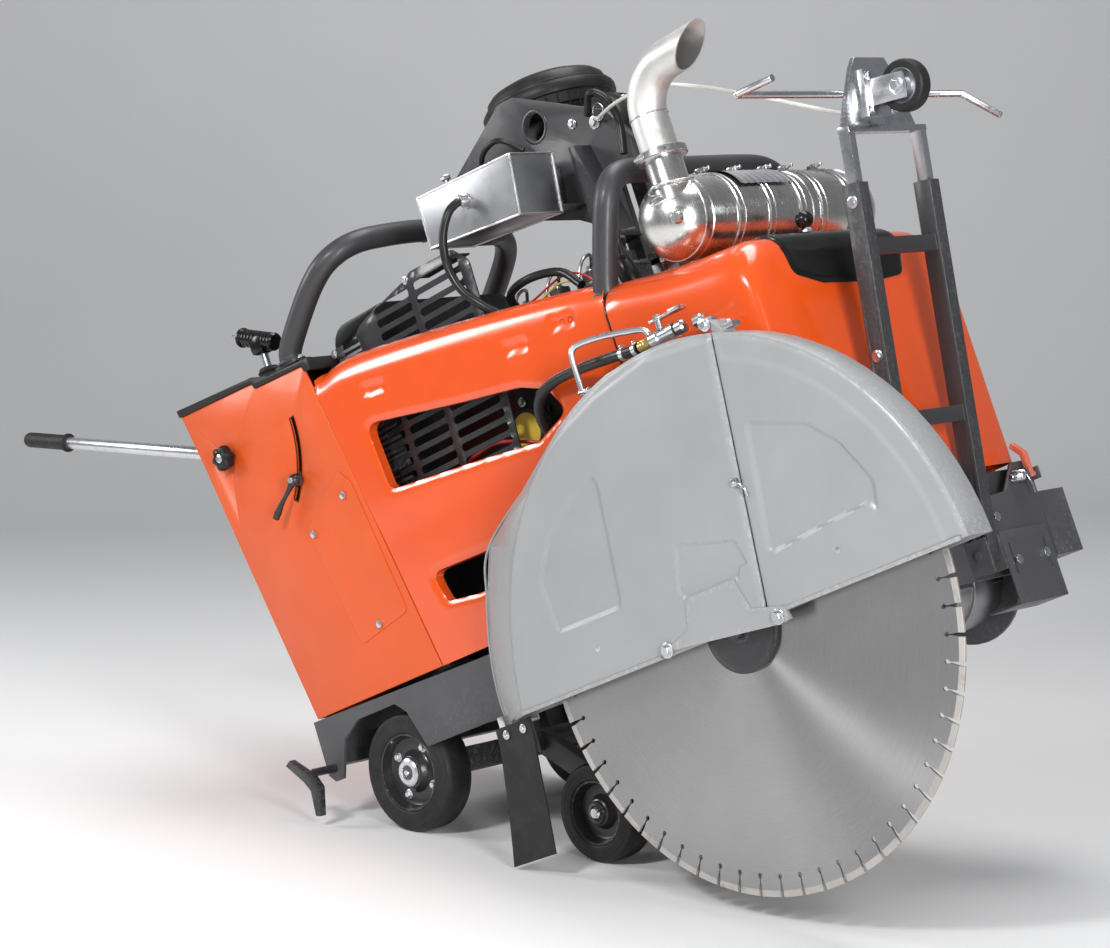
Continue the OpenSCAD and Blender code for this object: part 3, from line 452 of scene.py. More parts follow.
def block(low, high, bevel=1.0, turn=None):
    """A box with rounded edges. turn is a 4x4 applied in machine axes."""
    bm = bmesh.new()
    bmesh.ops.create_cube(bm, size=1)
    size = Vector(high) - Vector(low)
    mid = (Vector(high) + Vector(low)) / 2
    for vert in bm.verts:
        vert.co = Vector((vert.co.x * size.x, vert.co.y * size.y, vert.co.z * size.z)) + mid
    if bevel:
        bmesh.ops.bevel(bm, geom=bm.edges[:], offset=bevel, segments=2, affect="EDGES", profile=0.6)
    return from_bmesh(bm, turn)


def slab(outline, y0, y1, bevel=1.0, segments=2):
    """An X-Z outline between two Y planes, with rounded edges."""
    bm = bmesh.new()
    a = [bm.verts.new((x, y0, z)) for x, z in outline]
    b = [bm.verts.new((x, y1, z)) for x, z in outline]
    bm.faces.new(a)
    bm.faces.new(b[::-1])
    count = len(outline)
    for i in range(count):
        j = (i + 1) % count
        bm.faces.new((a[j], a[i], b[i], b[j]))
    bmesh.ops.recalc_face_normals(bm, faces=bm.faces[:])
    if bevel:
        bmesh.ops.bevel(bm, geom=bm.edges[:], offset=bevel, segments=segments, affect="EDGES",
                        profile=0.6, clamp_overlap=True)
    return from_bmesh(bm)


def from_bmesh(bm, turn=None):
    if turn is not None:
        bmesh.ops.transform(bm, matrix=turn, verts=bm.verts[:])
    bm.verts.index_update()
    points = [v.co.copy() for v in bm.verts]
    faces = [tuple(v.index for v in f.verts) for f in bm.faces]
    bm.free()
    return points, faces


def arc(c, r, a0, a1, n):
    """Points on a circle, angles in degrees."""
    return [(c[0] + r * math.cos(math.radians(a0 + (a1 - a0) * i / n)),
             c[1] + r * math.sin(math.radians(a0 + (a1 - a0) * i / n))) for i in range(n + 1)]


def rounded(corners, radius, n=5):
    """Rounds a closed outline's corners. radius is a number or one per corner."""
    out = []
    count = len(corners)
    for i, p in enumerate(corners):
        r = radius[i] if isinstance(radius, (list, tuple)) else radius
        p = Vector(p)
        a, b = Vector(corners[i - 1]) - p, Vector(corners[(i + 1) % count]) - p
        half = a.angle(b) / 2
        if r <= 0 or half > 1.55:
            out.append(tuple(p))
            continue
        cut = min(r / math.tan(half), a.length * 0.48, b.length * 0.48)
        pa, pb = p + a.normalized() * cut, p + b.normalized() * cut
        for k in range(n + 1):
            t = k / n
            out.append(tuple(pa * (1 - t) ** 2 + p * 2 * t * (1 - t) + pb * t * t))
    return out


def resample(outline, step):
    """Adds points so that no edge of a closed outline is longer than step."""
    out = []
    count = len(outline)
    for i in range(count):
        a, b = np.array(outline[i]), np.array(outline[(i + 1) % count])
        n = max(1, int(math.ceil(np.linalg.norm(b - a) / step)))
        out += [tuple(a + (b - a) * k / n) for k in range(n)]
    return out


def inside(points, outline):
    """Which points are inside a closed outline."""
    p = np.asarray(points, float)
    o = np.asarray(outline, float)
    q = np.roll(o, -1, axis=0)
    odd = np.zeros(len(p), bool)
    for (x0, z0), (x1, z1) in zip(o, q):
        if z0 == z1:
            continue
        hit = (z0 > p[:, 1]) != (z1 > p[:, 1])
        odd ^= hit & (p[:, 0] < (x1 - x0) * (p[:, 1] - z0) / (z1 - z0) + x0)
    return odd


def edge_distance(points, outline, closed=True):
    """Distance from each point to the nearest edge of an outline."""
    p = np.asarray(points, float)
    o = np.asarray(outline, float)
    best = np.full(len(p), 1e9)
    for i in range(len(o) if closed else len(o) - 1):
        a, b = o[i], o[(i + 1) % len(o)]
        d = b - a
        t = np.clip(((p - a) @ d) / max(d @ d, 1e-9), 0, 1)
        best = np.minimum(best, np.linalg.norm(p - a - t[:, None] * d, axis=1))
    return best


def depth_in(points, outline):
    """Distance inside an outline, negative outside it."""
    d = edge_distance(points, outline)
    return np.where(inside(points, outline), d, -d)


def step_up(d, width):
    """Smooth 0..1 as d goes from 0 to width."""
    t = np.clip(d / width, 0, 1)
    return t * t * (3 - 2 * t)


def flat_mesh(outline, holes=(), step=7.0, extra=()):
    """A fine triangle mesh of a flat outline with holes: (2-D points, faces, loops).
    loops are the point numbers along the outline and along each hole."""
    loops_in = [resample(outline, step)] + [resample(h, step) for h in holes]
    coords, edges, loops = [], [], []
    for loop in loops_in:
        base = len(coords)
        coords += loop
        edges += [(base + i, base + (i + 1) % len(loop)) for i in range(len(loop))]
        loops.append(list(range(base, base + len(loop))))
    o = np.array(outline)
    low, high = o.min(0), o.max(0)
    xs = np.arange(low[0] + step / 2, high[0], step)
    zs = np.arange(low[1] + step / 2, high[1], step * 0.87)
    grid = np.array([(x + (step / 2 if j % 2 else 0), z) for j, z in enumerate(zs) for x in xs])
    keep = depth_in(grid, outline) > step * 0.45
    for h in holes:
        keep &= depth_in(grid, h) < -step * 0.45
    coords += [tuple(q) for q in grid[keep]] + list(extra)
    result = delaunay_2d_cdt([Vector(c) for c in coords], edges, [], 0, 1e-5)
    verts, tris, origin = result[0], result[2], result[3]
    where = {}
    for i, source in enumerate(origin):
        for s in source:
            where[s] = i
    p = np.array([(v.x, v.y) for v in verts])
    mid = np.array([p[list(t)].mean(0) for t in tris])
    good = inside(mid, outline)
    for h in holes:
        good &= ~inside(mid, h)
    faces = [tuple(t) for t, g in zip(tris, good) if g]
    return p, faces, [[where[i] for i in loop] for loop in loops]


def hexagon(centre, direction, r, h, washer=1.35, n=6):
    """A hex head with a chamfered top on a round washer."""
    d, u, v = axes_for(direction)
    c = Vector(centre)
    parts = []
    if washer:
        parts.append(lathe([(0, 0), (r * washer, 0), (r * washer, 1.6), (r * washer - 1, 2.2),
                            (0, 2.2)], c, d, 28))
    base = 2.0 if washer else 0
    rows = [(r, base), (r, base + h * 0.82), (r * 0.86, base + h)]
    points, faces = [], []
    for rr, hh in rows:
        for k in range(n):
            a = 2 * math.pi * k / n
            points.append(c + d * hh + rr * (math.cos(a) * u + math.sin(a) * v))
    for i in range(len(rows) - 1):
        for k in range(n):
            k2 = (k + 1) % n
            faces.append((i * n + k, i * n + k2, (i + 1) * n + k2, (i + 1) * n + k))
    faces.append(tuple((len(rows) - 1) * n + k for k in range(n)))
    faces.append(tuple(range(n - 1, -1, -1)))
    parts.append((points, faces))
    return merge(*parts)


made = []


def piece(name, parts, body, material, replaces=(), sharp=32, thick=0.0):
    """Makes one object from machine-millimetre meshes. parts is a list of
    (points, faces) or, for a second material, (points, faces, material)."""
    points, faces, index, mats = [], [], [], [M[material]]
    for part in parts:
        base = len(points)
        points += [TO_ROW @ Vector(p) for p in part[0]]
        faces += [tuple(i + base for i in f) for f in part[1]]
        mat = M[part[2]] if len(part) > 2 else M[material]
        if mat not in mats:
            mats.append(mat)
        index += [mats.index(mat)] * len(part[1])
    mesh = bpy.data.meshes.new(name)
    mesh.from_pydata(points, [], faces)
    for m in mats:
        mesh.materials.append(m)
    mesh.polygons.foreach_set("material_index", index)
    bm = bmesh.new()
    bm.from_mesh(mesh)
    bmesh.ops.recalc_face_normals(bm, faces=bm.faces[:])
    bm.to_mesh(mesh)
    bm.free()
    mesh.shade_smooth()
    mesh.set_sharp_from_angle(angle=math.radians(sharp))
    mesh.update()
    obj = bpy.data.objects.new(name, mesh)
    bpy.context.scene.collection.objects.link(obj)
    if thick:
        solid = obj.modifiers.new("thickness", "SOLIDIFY")
        solid.thickness = thick * MM
        solid.offset = -1
    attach(obj, body)
    if replaces:
        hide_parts(*replaces)
    made.append(obj)
    return obj

# ---------------------------------------------------------------------------
# The pointer rope, which runs from the rear hoop's rope ring to the pointer head

ROPE_ROUTE = [(-276, -16, 1129), (-266, -30, 1124), (-230, -60, 1116), (-160, -100, 1108),
              (-90, -120, 1100), (-20, -118, 1090), (60, -96, 1050), (160, -60, 985),
              (260, -32, 916), (320, -16, 876), (359, -10, 852)]
ROPE_R = 4.0


def make_rope():
    line = smooth_route(cut_corners(ROPE_ROUTE, 1), 7)
    points, faces = [], []
    n, strands = 24, 3
    d, u, v = axes_for(line[1] - line[0])
    along = 0.0
    for i, p in enumerate(line):
        t = (line[min(i + 1, len(line) - 1)] - line[max(i - 1, 0)]).normalized()
        u = (u - t * u.dot(t)).normalized()
        v = t.cross(u)
        if i:
            along += (p - line[i - 1]).length
        for k in range(n):
            a = 2 * math.pi * k / n
            r = ROPE_R * (0.93 + 0.09 * math.cos(strands * (a + along * 0.28)))
            points.append(p + r * (math.cos(a) * u + math.sin(a) * v))
    for i in range(len(line) - 1):
        for k in range(n):
            k2 = (k + 1) % n
            faces.append((i * n + k, i * n + k2, (i + 1) * n + k2, (i + 1) * n + k))
    faces.append(tuple(range(n - 1, -1, -1)))
    faces.append(tuple((len(line) - 1) * n + k for k in range(n)))
    rope = piece("rope_line", [(points, faces)], "chassis", "rope", ["pointer_rope"], 80)
    rope.parent = None
    rope.matrix_world = Matrix.Identity(4)
    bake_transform(rope)


make_rope()

# ---------------------------------------------------------------------------
# Blade guard skins, with the pressed pockets and the lap plate


def pressed_sheet(outline, holes, features, base_y, sign=-1.0, step=6.0, edge=(9.0, 5.0), lip=0.0):
    """A pressed panel facing sign * Y. features are (outline, height, ramp width):
    each raises or sinks the panel inside its outline. edge is the width and depth
    of the rounded border, and lip the depth of the wall round each hole."""
    p, faces, loops = flat_mesh(outline, holes, step)
    h = np.zeros(len(p))
    for shape, height, ramp in features:
        h += height * step_up(depth_in(p, shape), ramp)
    width, drop = edge
    border = edge_distance(p, outline)
    for hole in holes:
        border = np.minimum(border, edge_distance(p, hole))
    t = np.clip(1 - border / width, 0, 1)
    h -= drop * (1 - np.sqrt(1 - t * t))
    points = [(x, base_y + sign * k, z) for (x, z), k in zip(p, h)]
    out = [(points, faces)]
    for loop in loops:
        wall, n = [], len(loop)
        for row, depth in enumerate((0.0, 1.5, lip or drop + 2.0)):
            wall += [(p[i][0], base_y + sign * (h[i] - depth), p[i][1]) for i in loop]
        quads = [(r * n + k, r * n + (k + 1) % n, (r + 1) * n + (k + 1) % n, (r + 1) * n + k)
                 for r in range(2) for k in range(n)]
        out.append((wall, quads))
    return merge(*out)


def make_guard():
    rear = ([(SPLIT_TOP[0] - 1, SPLIT_TOP[1])] + arc(GUARD_C, GUARD_R - 1, 74, 175, 60)
            + [(-579, -3), (SPLIT_LOW[0] - 2, -4)])
    rear_pocket = rounded([(-421, 116), (-236, 115), (-198, 386), (-287, 345), (-377, 293), (-429, 228)],
                          [16, 20, 30, 60, 60, 40])
    low_pocket = rounded([(-63, 185), (-91, 102), (-78, 80), (60, 80), (71, 99), (93, 98), (78, 148),
                          (56, 155)], 8)
    crease = [(169, 560), (169, 500), (0, 520), (-149, 498), (-319, 444), (-407, 379), (-475, 296),
              (-520, 206), (-556, 96), (-574, 20), (-640, 20), (-640, 560)]
    features = [(rear_pocket, -6.4, 7), (low_pocket, -5.0, 3.5), (crease, -3.6, 12)]
    skin = pressed_sheet(rear, [], features, GUARD_NEAR - 6.6, edge=(14, 6.4))
    parts = [skin]
    lap = rounded([(-174, 7), (-94, 27), (-78, 82), (49, 84), (68, 22), (145, 3), (150, -22), (125, -25)], 7)
    parts.append(pressed_sheet(lap, [], [], GUARD_NEAR - 10.2, edge=(2.2, 1.4), step=9, lip=6))
    # folded lip on the lower edge
    parts.append(slab([(-576, -5), (-576, 3), (-180, 3), (-180, -5)], GUARD_NEAR - 7.2, GUARD_NEAR - 3, 1.4))
    piece("guard_rear_skin", parts, "chassis", "guard", sharp=40)

    front = ([(SPLIT_LOW[0] + 3, SPLIT_LOW[1])] + arc(GUARD_C, GUARD_R - 1, 3.4, 72.0, 44)
             + [(SPLIT_TOP[0] + 3, SPLIT_TOP[1] - 2)])
    front_pocket = rounded([(186, 342), (142, 97), (395, 114), (412, 87), (424, 150), (380, 236), (318, 294),
                            (247, 319)], [16, 18, 6, 10, 30, 50, 50, 24])
    rim = [(175, 520)] + arc(GUARD_C, GUARD_R - 52, 70, 2, 30) + [(640, 0), (640, 560), (175, 600)]
    skin = pressed_sheet(front, [], [(front_pocket, -6.4, 7), (rim, -3.6, 11)], GUARD_NEAR - 6.6, edge=(14, 6.4))
    clip = smooth_route([(121, GUARD_NEAR - 5, 246), (124, GUARD_NEAR - 15, 244), (138, GUARD_NEAR - 17, 240),
                         (146, GUARD_NEAR - 15, 226), (143, GUARD_NEAR - 8, 214)], 6)
    parts = [skin, (*sweep(clip, 2.4, 12), "zinc"),
             (*block((116, GUARD_NEAR - 12, 238), (130, GUARD_NEAR - 5, 252), 1), "zinc"),
             (*slab([(99, -5), (99, 3), (560, 3), (560, -5)], GUARD_NEAR - 7.2, GUARD_NEAR - 3, 1.4),)]
    piece("guard_front_skin", parts, "guard_front", "guard", sharp=40)

    bolts = []
    for x, z, r in ((125, -11, 10), (-157, 7, 10)):
        bolts.append(hexagon((x, GUARD_NEAR - 9.6, z), (0, -1, 0), r, 7, 1.5))
    for x, z in ((-330, 60), (300, 60)):
        bolts.append(lathe([(0, 2.4), (5, 2), (7.5, 0)], (x, GUARD_NEAR - 4.8, z), (0, -1, 0), 24))
    piece("guard_bolts", bolts, "chassis", "zinc", sharp=30)
    # deflector: bright rolled edge along the rear of the guard
    back = [(-290, 505), (-441, 430), (-606, 344), (-654, 251), (-690, 144), (-703, 55), (-699, -2)]
    edge = [(x, GUARD_BACK - 1.5, z) for x, z in back]
    piece("guard_deflector_edge", [sweep(smooth_route(edge, 8), 2.6, 12)], "chassis", "guard")


make_guard()


# ---------------------------------------------------------------------------
# Blade: ground core with its segments

SEGMENTS = 60
BLADE_R = 500.0
CORE_R = 489.0


def make_blade():
    step = 2 * math.pi / SEGMENTS
    half = 2.0
    per = 8
    n = SEGMENTS * per
    rings = [12.8, 40, 85, 130, 180, 230, 280, 330, 380, 420, 446]
    points, faces = [], []
    for r in rings:
        points += [(r * math.cos(2 * math.pi * k / n), r * math.sin(2 * math.pi * k / n)) for k in range(n)]
    for i in range(len(rings) - 1):
        for k in range(n):
            k2 = (k + 1) % n
            faces.append((i * n + k, i * n + k2, (i + 1) * n + k2, (i + 1) * n + k))
    # rim band between the last ring and the toothed edge
    edge = []
    for s in range(SEGMENTS):
        a0 = s * step
        slot = lambda q, w, base=a0: base + step + w / q
        for k in range(6):
            a = a0 + 3.8 / CORE_R + (step - 7.6 / CORE_R) * k / 5
            edge.append((CORE_R * math.cos(a), CORE_R * math.sin(a)))
        for q, w in ((480, -2.6), (473, -1.5), (467, -1.5), (465, -3.6), (461.5, -4.6), (457.5, -3), (456.5, 0),
                     (457.5, 3), (461.5, 4.6), (465, 3.6), (467, 1.5), (473, 1.5), (480, 2.6)):
            a = slot(q, w)
            edge.append((q * math.cos(a), q * math.sin(a)))
    inner = points[-n:]
    coords = [Vector(q) for q in inner] + [Vector(q) for q in edge]
    loops = [(k, (k + 1) % n) for k in range(n)]
    loops += [(n + k, n + (k + 1) % len(edge)) for k in range(len(edge))]
    result = delaunay_2d_cdt(coords, loops, [], 0, 1e-4)
    verts, tris, origin = result[0], result[2], result[3]
    flat = np.array([(v.x, v.y) for v in verts])
    mid = np.array([flat[list(t)].mean(0) for t in tris])
    good = inside(mid, edge) & (np.hypot(mid[:, 0], mid[:, 1]) > 445.9)
    base = len(points)
    points += [tuple(q) for q in flat]
    faces += [tuple(i + base for i in t) for t, g in zip(tris, good) if g]
    # radial sides turned to machine X-Z
    near = [(x, BLADE_Y - half, z) for x, z in points]
    far = [(x, BLADE_Y + half, z) for x, z in points]
    side, quads = [], []
    m = len(edge)
    for y in (BLADE_Y - half, BLADE_Y + half):
        side += [(x, y, z) for x, z in edge]
    quads = [(k, (k + 1) % m, m + (k + 1) % m, m + k) for k in range(m)]
    core = piece("blade_core", [(near, faces), (far, [f[::-1] for f in faces]), (side, quads)],
                 "blade_spindle", "blade", ["blade"], sharp=20)
    mesh = core.data
    uv = mesh.uv_layers.new(name="rings")
    place = TO_ROW.inverted()
    polar = []
    for v in mesh.vertices:
        q = place @ v.co
        polar.append((math.atan2(q.z, q.x) / (2 * math.pi), math.hypot(q.x, q.z) / BLADE_R))
    for poly in mesh.polygons:
        us = [polar[mesh.loops[i].vertex_index][0] for i in poly.loop_indices]
        wrap = max(us) - min(us) > 0.5
        for i in poly.loop_indices:
            u, v = polar[mesh.loops[i].vertex_index]
            uv.data[i].uv = (u + 1 if wrap and u < 0 else u, v)
    parts = []
    for s in range(SEGMENTS):
        a0 = s * step
        seg_points, seg_faces = [], []
        for k in range(5):
            a = a0 + 3.9 / BLADE_R + (step - 7.8 / BLADE_R) * k / 4
            for r in (487.5, 499.2, 500.0):
                w = 2.7 if r < 500 else 2.2
                for y in (-w, w):
                    seg_points.append((r * math.cos(a), BLADE_Y + y, r * math.sin(a)))
        for k in range(4):
            b, c = k * 6, (k + 1) * 6
            for i, j in ((0, 2), (2, 4), (3, 1), (5, 3)):
                seg_faces.append((b + i, c + i, c + j, b + j))
            seg_faces.append((b + 4, c + 4, c + 5, b + 5))
            seg_faces.append((b + 1, c + 1, c, b))
        for b in (0, 24):
            seg_faces.append((b, b + 2, b + 4, b + 5, b + 3, b + 1))
        parts.append((seg_points, seg_faces))
    piece("blade_segments", parts, "blade_spindle", "segment", sharp=25)
    # outer flange with its chamfer, washer and nut
    parts = [lathe([(0, 12), (70, 12), (80, 10.5), (85, 7), (85.5, 0)], (0, BLADE_Y - 2, 0), (0, -1, 0), 96),
             (*lathe([(0, 14.5), (26, 14.5), (28, 13), (28, 11.8)], (0, BLADE_Y - 2, 0), (0, -1, 0), 48),),
             hexagon((0, BLADE_Y - 16, 0), (0, -1, 0), 19.5, 11, 0)]
    piece("outer_flange", parts, "blade_spindle", "black_paint", sharp=30)


make_blade()

# ---------------------------------------------------------------------------
# Cowls: pressed side panels with lipped windows, rolled over at the top

COWL_TOP = [(-1009, 855), (-907, 860), (-629, 820), (-277, 759), (-164, 733)]
WINDOW = [(-902, 705), (-631, 654), (-446, 623), (-374, 594), (-339, 537), (-437, 504), (-608, 525), (-886, 553)]
LOW_WINDOW = [(-844, 356), (-821, 288), (-728, 276), (-450, 270), (-430, 330), (-470, 348), (-695, 351)]
BADGES = ((-846, 766), (-418, 700), (-280, 700))


def badge_pocket(x, z):
    a = math.radians(-9)
    c, s = math.cos(a), math.sin(a)
    return rounded([(x + p * c - q * s, z + p * s + q * c)
                    for p, q in ((-38, -15), (38, -15), (38, 15), (-38, 15))], 9)


def make_cowl(side):
    y = side * BODY_HALF
    top = [tuple(q)[:2] for q in smooth_route([(x, z, 0) for x, z in COWL_TOP], 10)]
    outline = top + [(-164, 168), (-884, 168), (-1025, 845)]
    windows = [rounded(WINDOW, [26, 60, 50, 40, 22, 30, 60, 26], 7),
               rounded(LOW_WINDOW, [22, 20, 20, 12, 14, 14, 20], 6)]
    p, faces, loops = flat_mesh(outline, windows, 8.0)
    near_top = edge_distance(p, top, closed=False)
    roll = 58.0
    t = np.clip(1 - near_top / roll, 0, 1)
    inward = roll * (1 - np.sqrt(1 - np.minimum(t, 0.995) ** 2)) * 0.72
    for w in windows:
        d = edge_distance(p, w)
        k = np.clip(1 - d / 15.0, 0, 1)
        inward += 6.0 * (1 - np.sqrt(1 - 0.98 * k * k))
    crown = -3.0 * step_up(depth_in(p, [(-1100, 900), (-1100, 445), (-164, 445), (-164, 900)]), 120)
    inward += crown + 3.0
    pockets = [badge_pocket(x, z) for x, z in BADGES]
    for shape in pockets:
        inward += 4.0 * step_up(depth_in(p, shape), 6)
    parts = [([(x, y - side * d, z) for (x, z), d in zip(p, inward)], faces)]
    # turned-in lips round the windows
    for loop in loops[1:]:
        n, wall = len(loop), []
        for depth in (0, 2, 22):
            wall += [(p[i][0], y - side * (inward[i] + depth), p[i][1]) for i in loop]
        parts.append((wall, [(r * n + k, r * n + (k + 1) % n, (r + 1) * n + (k + 1) % n, (r + 1) * n + k)
                             for r in range(2) for k in range(n)]))
    # top flange running in over the engine bay
    edge = [i for i in loops[0] if near_top[i] < 0.5 and p[i][0] < -165]
    edge.sort(key=lambda i: p[i][0])
    n, wall = len(edge), []
    for depth, drop in ((0, 0), (10, -1.5), (24, -6), (27, -14)):
        wall += [(p[i][0], y - side * (inward[i] + depth), p[i][1] + drop) for i in edge]
    parts.append((wall, [(r * n + k, r * n + k + 1, (r + 1) * n + k + 1, (r + 1) * n + k)
                         for r in range(3) for k in range(n - 1)]))
    # front and rear returns
    for x0, z0, x1, z1 in ((-164, 168, -164, 700), (-884, 168, -1020, 830)):
        ends = [(x0 + (x1 - x0) * k / 6, z0 + (z1 - z0) * k / 6) for k in range(7)]
        wall = [(x, y - side * (3.0 + d), z) for d in (0, 20) for x, z in ends]
        parts.append((wall, [(k, k + 1, 8 + k, 7 + k) for k in range(6)]))
    name = "left" if side > 0 else "right"
    piece("cowl_%s_panel" % name, parts, "chassis", "cowl", ["cowl_" + name], sharp=50, thick=0)
    # gloss-black discs in the badge pockets: painted shade standing in for the dark inside of the holes, which are not
    # cut
    hole_shade_discs = []
    for x, z in BADGES:
        for k in (-1, 0, 1):
            d = 22 * k
            q = (x + d * math.cos(math.radians(-9)), z + d * math.sin(math.radians(-9)))
            hole_shade_discs.append(lathe([(0, -1.0), (4.4, -1.0), (5.4, 0.2), (6.2, 0.1)],
                              (q[0], y - side * 4.2, q[1]), (0, side, 0), 24))
    piece("cowl_%s_holes" % name, hole_shade_discs, "chassis", "gloss_black", sharp=30)


for side in (-1, 1):
    make_cowl(side)


def make_hood():
    """Front hood lofted from cross sections, with a rounded nose."""
    stations = [(-160, 310, 728, 64, 0), (-157, 310, 730, 64, 0), (-120, 310, 724, 66, 0), (-60, 310, 714, 72, 0),
                (0, 310, 706, 78, 0), (60, 310, 700, 84, 0), (110, 310, 697, 88, 0), (150, 309.5, 694, 90, 0),
                (172, 308.5, 689, 92, 0), (186, 306, 681, 94, 0), (195, 302.5, 672, 96, 0),
                (201, 297, 661, 98, 0), (204, 289, 648, 98, 0)]
    points, faces = [], []
    count = None
    for x, w, zt, r, _ in stations:
        poly = [(-w, 186), (-w, zt), (w, zt), (w, 186)]
        section = []
        for k in range(10):
            section.append((-w, 186 + (zt - r - 186) * k / 10))
        section += [(-w + r - r * math.cos(math.radians(a)), zt - r + r * math.sin(math.radians(a)))
                    for a in range(0, 91, 6)]
        crown = 5.0
        for k in range(1, 24):
            y = (-w + r) + (2 * w - 2 * r) * k / 24
            section.append((y, zt + crown * math.sin(math.pi * k / 24)))
        section += [(w - r + r * math.cos(math.radians(a)), zt - r + r * math.sin(math.radians(a)))
                    for a in range(90, -1, -6)]
        for k in range(1, 11):
            section.append((w, zt - r - (zt - r - 186) * k / 10))
        count = len(section)
        points += [(x, y, z) for y, z in section]
    for i in range(len(stations) - 1):
        for k in range(count - 1):
            a = i * count + k
            faces.append((a, a + 1, a + count + 1, a + count))
    last = (len(stations) - 1) * count
    faces.append(tuple(range(last, last + count)))
    parts = [(points, faces)]
    # seam bead against the cowls, and the lower skirt flange
    first = [Vector(p) + Vector((-1, 0, -0.6)) for p in points[:count]]
    parts.append((*sweep(first, 2.0, 10), "gloss_black"))
    for s in (-1, 1):
        parts.append(block((-158, s * 300 - (6 if s < 0 else 4), 168), (150, s * 300 + (4 if s < 0 else 6), 190), 1.5))
    piece("front_hood_shell", parts, "chassis", "cowl", ["front_hood"], sharp=46)

    # black inset: a dished tray let into the top, with a lip down the front
    outline = rounded([(62, -176), (206, -196), (206, 168), (62, 148)], [34, 14, 14, 34], 8)
    p, tris, loops = flat_mesh(outline, [], 7.0)
    d = edge_distance(p, outline)
    lift = 6.5 - 3.5 * np.clip(1 - d / 9, 0, 1) ** 2 - 12.0 * step_up(depth_in(p, rounded(
        [(84, -150), (176, -160), (176, 128), (84, 122)], 26)), 18)
    zt = np.interp(p[:, 0], [60, 110, 150, 172, 186, 195, 201, 206], [700, 697, 694, 689, 681, 672, 661, 650])
    zt += 5.0 * np.cos(p[:, 1] / 222 * math.pi / 2)
    tray = [(x, y, z + h) for (x, y), z, h in zip(p, zt, lift)]
    n = len(loops[0])
    wall = [(p[i][0], p[i][1], zt[i] + lift[i] - dz) for dz in (0, 9) for i in loops[0]]
    quads = [(k, (k + 1) % n, n + (k + 1) % n, n + k) for k in range(n)]
    lip_outline = rounded([(-196, 664), (-182, 606), (-104, 584), (60, 580), (146, 590), (168, 664)],
                          [6, 26, 40, 40, 26, 6], 7)
    lp, ltris, lloops = flat_mesh(lip_outline, [], 8.0)
    ld = edge_distance(lp, lip_outline)
    bulge = 3.5 - 3.0 * np.clip(1 - ld / 8, 0, 1) ** 2
    lip = [(204.2 + b, y, z) for (y, z), b in zip(lp, bulge)]
    m = len(lloops[0])
    lwall = [(204.2 + bulge[i] - dx, lp[i][0], lp[i][1]) for dx in (0, 4) for i in lloops[0]]
    lquads = [(k, (k + 1) % m, m + (k + 1) % m, m + k) for k in range(m)]
    piece("hood_tray", [(tray, tris), (wall, quads), (lip, ltris), (lwall, lquads)], "chassis",
          "gloss_black", ["hood_inset"], sharp=50)


make_hood()

# ---------------------------------------------------------------------------
# Wheels: rubber tyre on a dished steel disc, with studs and a hub cap


def make_wheel(name, body, centre, r, width, y_face, side, cap):
    out = (0, side, 0)
    base = (centre[0], side * (y_face - width), centre[1])
    rim = r * 0.66
    tread = [(rim, 4), (rim + 3, 1.5), (r - 12, 1.5), (r - 5, 4), (r - 1.2, 10), (r, 18), (r, width - 18),
             (r - 1.2, width - 10), (r - 5, width - 4), (r - 12, width - 1.5), (rim + 3, width - 1.5),
             (rim, width - 4), (rim, 4)]
    parts = [lathe(tread, base, out, 96)]
    for k in (0.3, 0.5, 0.7):
        parts.append(lathe([(r + 0.05, width * k - 1.0), (r - 1.2, width * k), (r + 0.05, width * k + 1.0)],
                           base, out, 96))
    for rr, h in ((r - 16, width - 0.9), (rim + 9, width - 0.9)):
        parts.append(lathe([(rr - 2, h - 0.9), (rr - 1.2, h), (rr + 1.2, h), (rr + 2, h - 0.9)], base, out, 96))
    dish = width - 28
    disc = [(rim, width - 5), (rim - 2, width - 3), (rim - 5, width - 4), (rim - 7, width - 12),
            (rim - 12, dish + 3), (rim - 18, dish), (r * 0.36, dish), (r * 0.33, dish + 3), (r * 0.27, dish + 16),
            (r * 0.24, dish + 18), (0, dish + 18)]
    back = [(rim, 5), (rim - 3, 4), (rim - 8, 14), (rim - 14, 20), (r * 0.3, 20), (r * 0.27, 6), (0, 6)]
    parts += [(*lathe(disc, base, out, 72), "black_paint"), (*lathe(back, base, out, 72), "black_paint")]
    for k in range(4 if cap else 0):
        a = math.radians(45 + 90 * k)
        q = (centre[0] + r * 0.455 * math.cos(a), side * (y_face - width + dish - 0.5),
             centre[1] + r * 0.455 * math.sin(a))
        parts.append((*hexagon(q, out, 7.0, 6, 1.5), "zinc"))
    if cap:
        parts.append((*lathe([(r * 0.235, dish + 17), (r * 0.235, dish + 23), (r * 0.2, dish + 26),
                              (r * 0.13, dish + 26), (r * 0.12, dish + 23.5), (0, dish + 23.5)],
                             base, out, 48), "zinc"))
        top = tuple(b + side * (dish + 23) * o * side for b, o in zip(base, out))
        parts.append((*lathe([(0, 7), (5, 7), (6.5, 5), (6.5, 0)], top, out, 32), "zinc"))
    else:
        hub = tuple(b + (dish + 18) * o for b, o in zip(base, out))
        parts.append((*lathe([(24, 0), (22, 4), (15, 5), (14, 3)], hub, out, 48), "black_paint"))
        parts.append((*lathe([(12, 0), (12, 7), (9.5, 10), (0, 10.5)], hub, out, 40), "zinc"))
    piece(name + "_built", parts, body, "tyre", [name], sharp=28)


for side, name in ((-1, "right"), (1, "left")):
    make_wheel("rear_wheel_" + name, "rear_wheel_" + name, REAR_AXLE, 127.0, 76.0, 300.0, side, True)
    make_wheel("front_wheel_" + name, "front_wheel_" + name, FRONT_AXLE, 101.6, 76.0, 250.0, side, False)


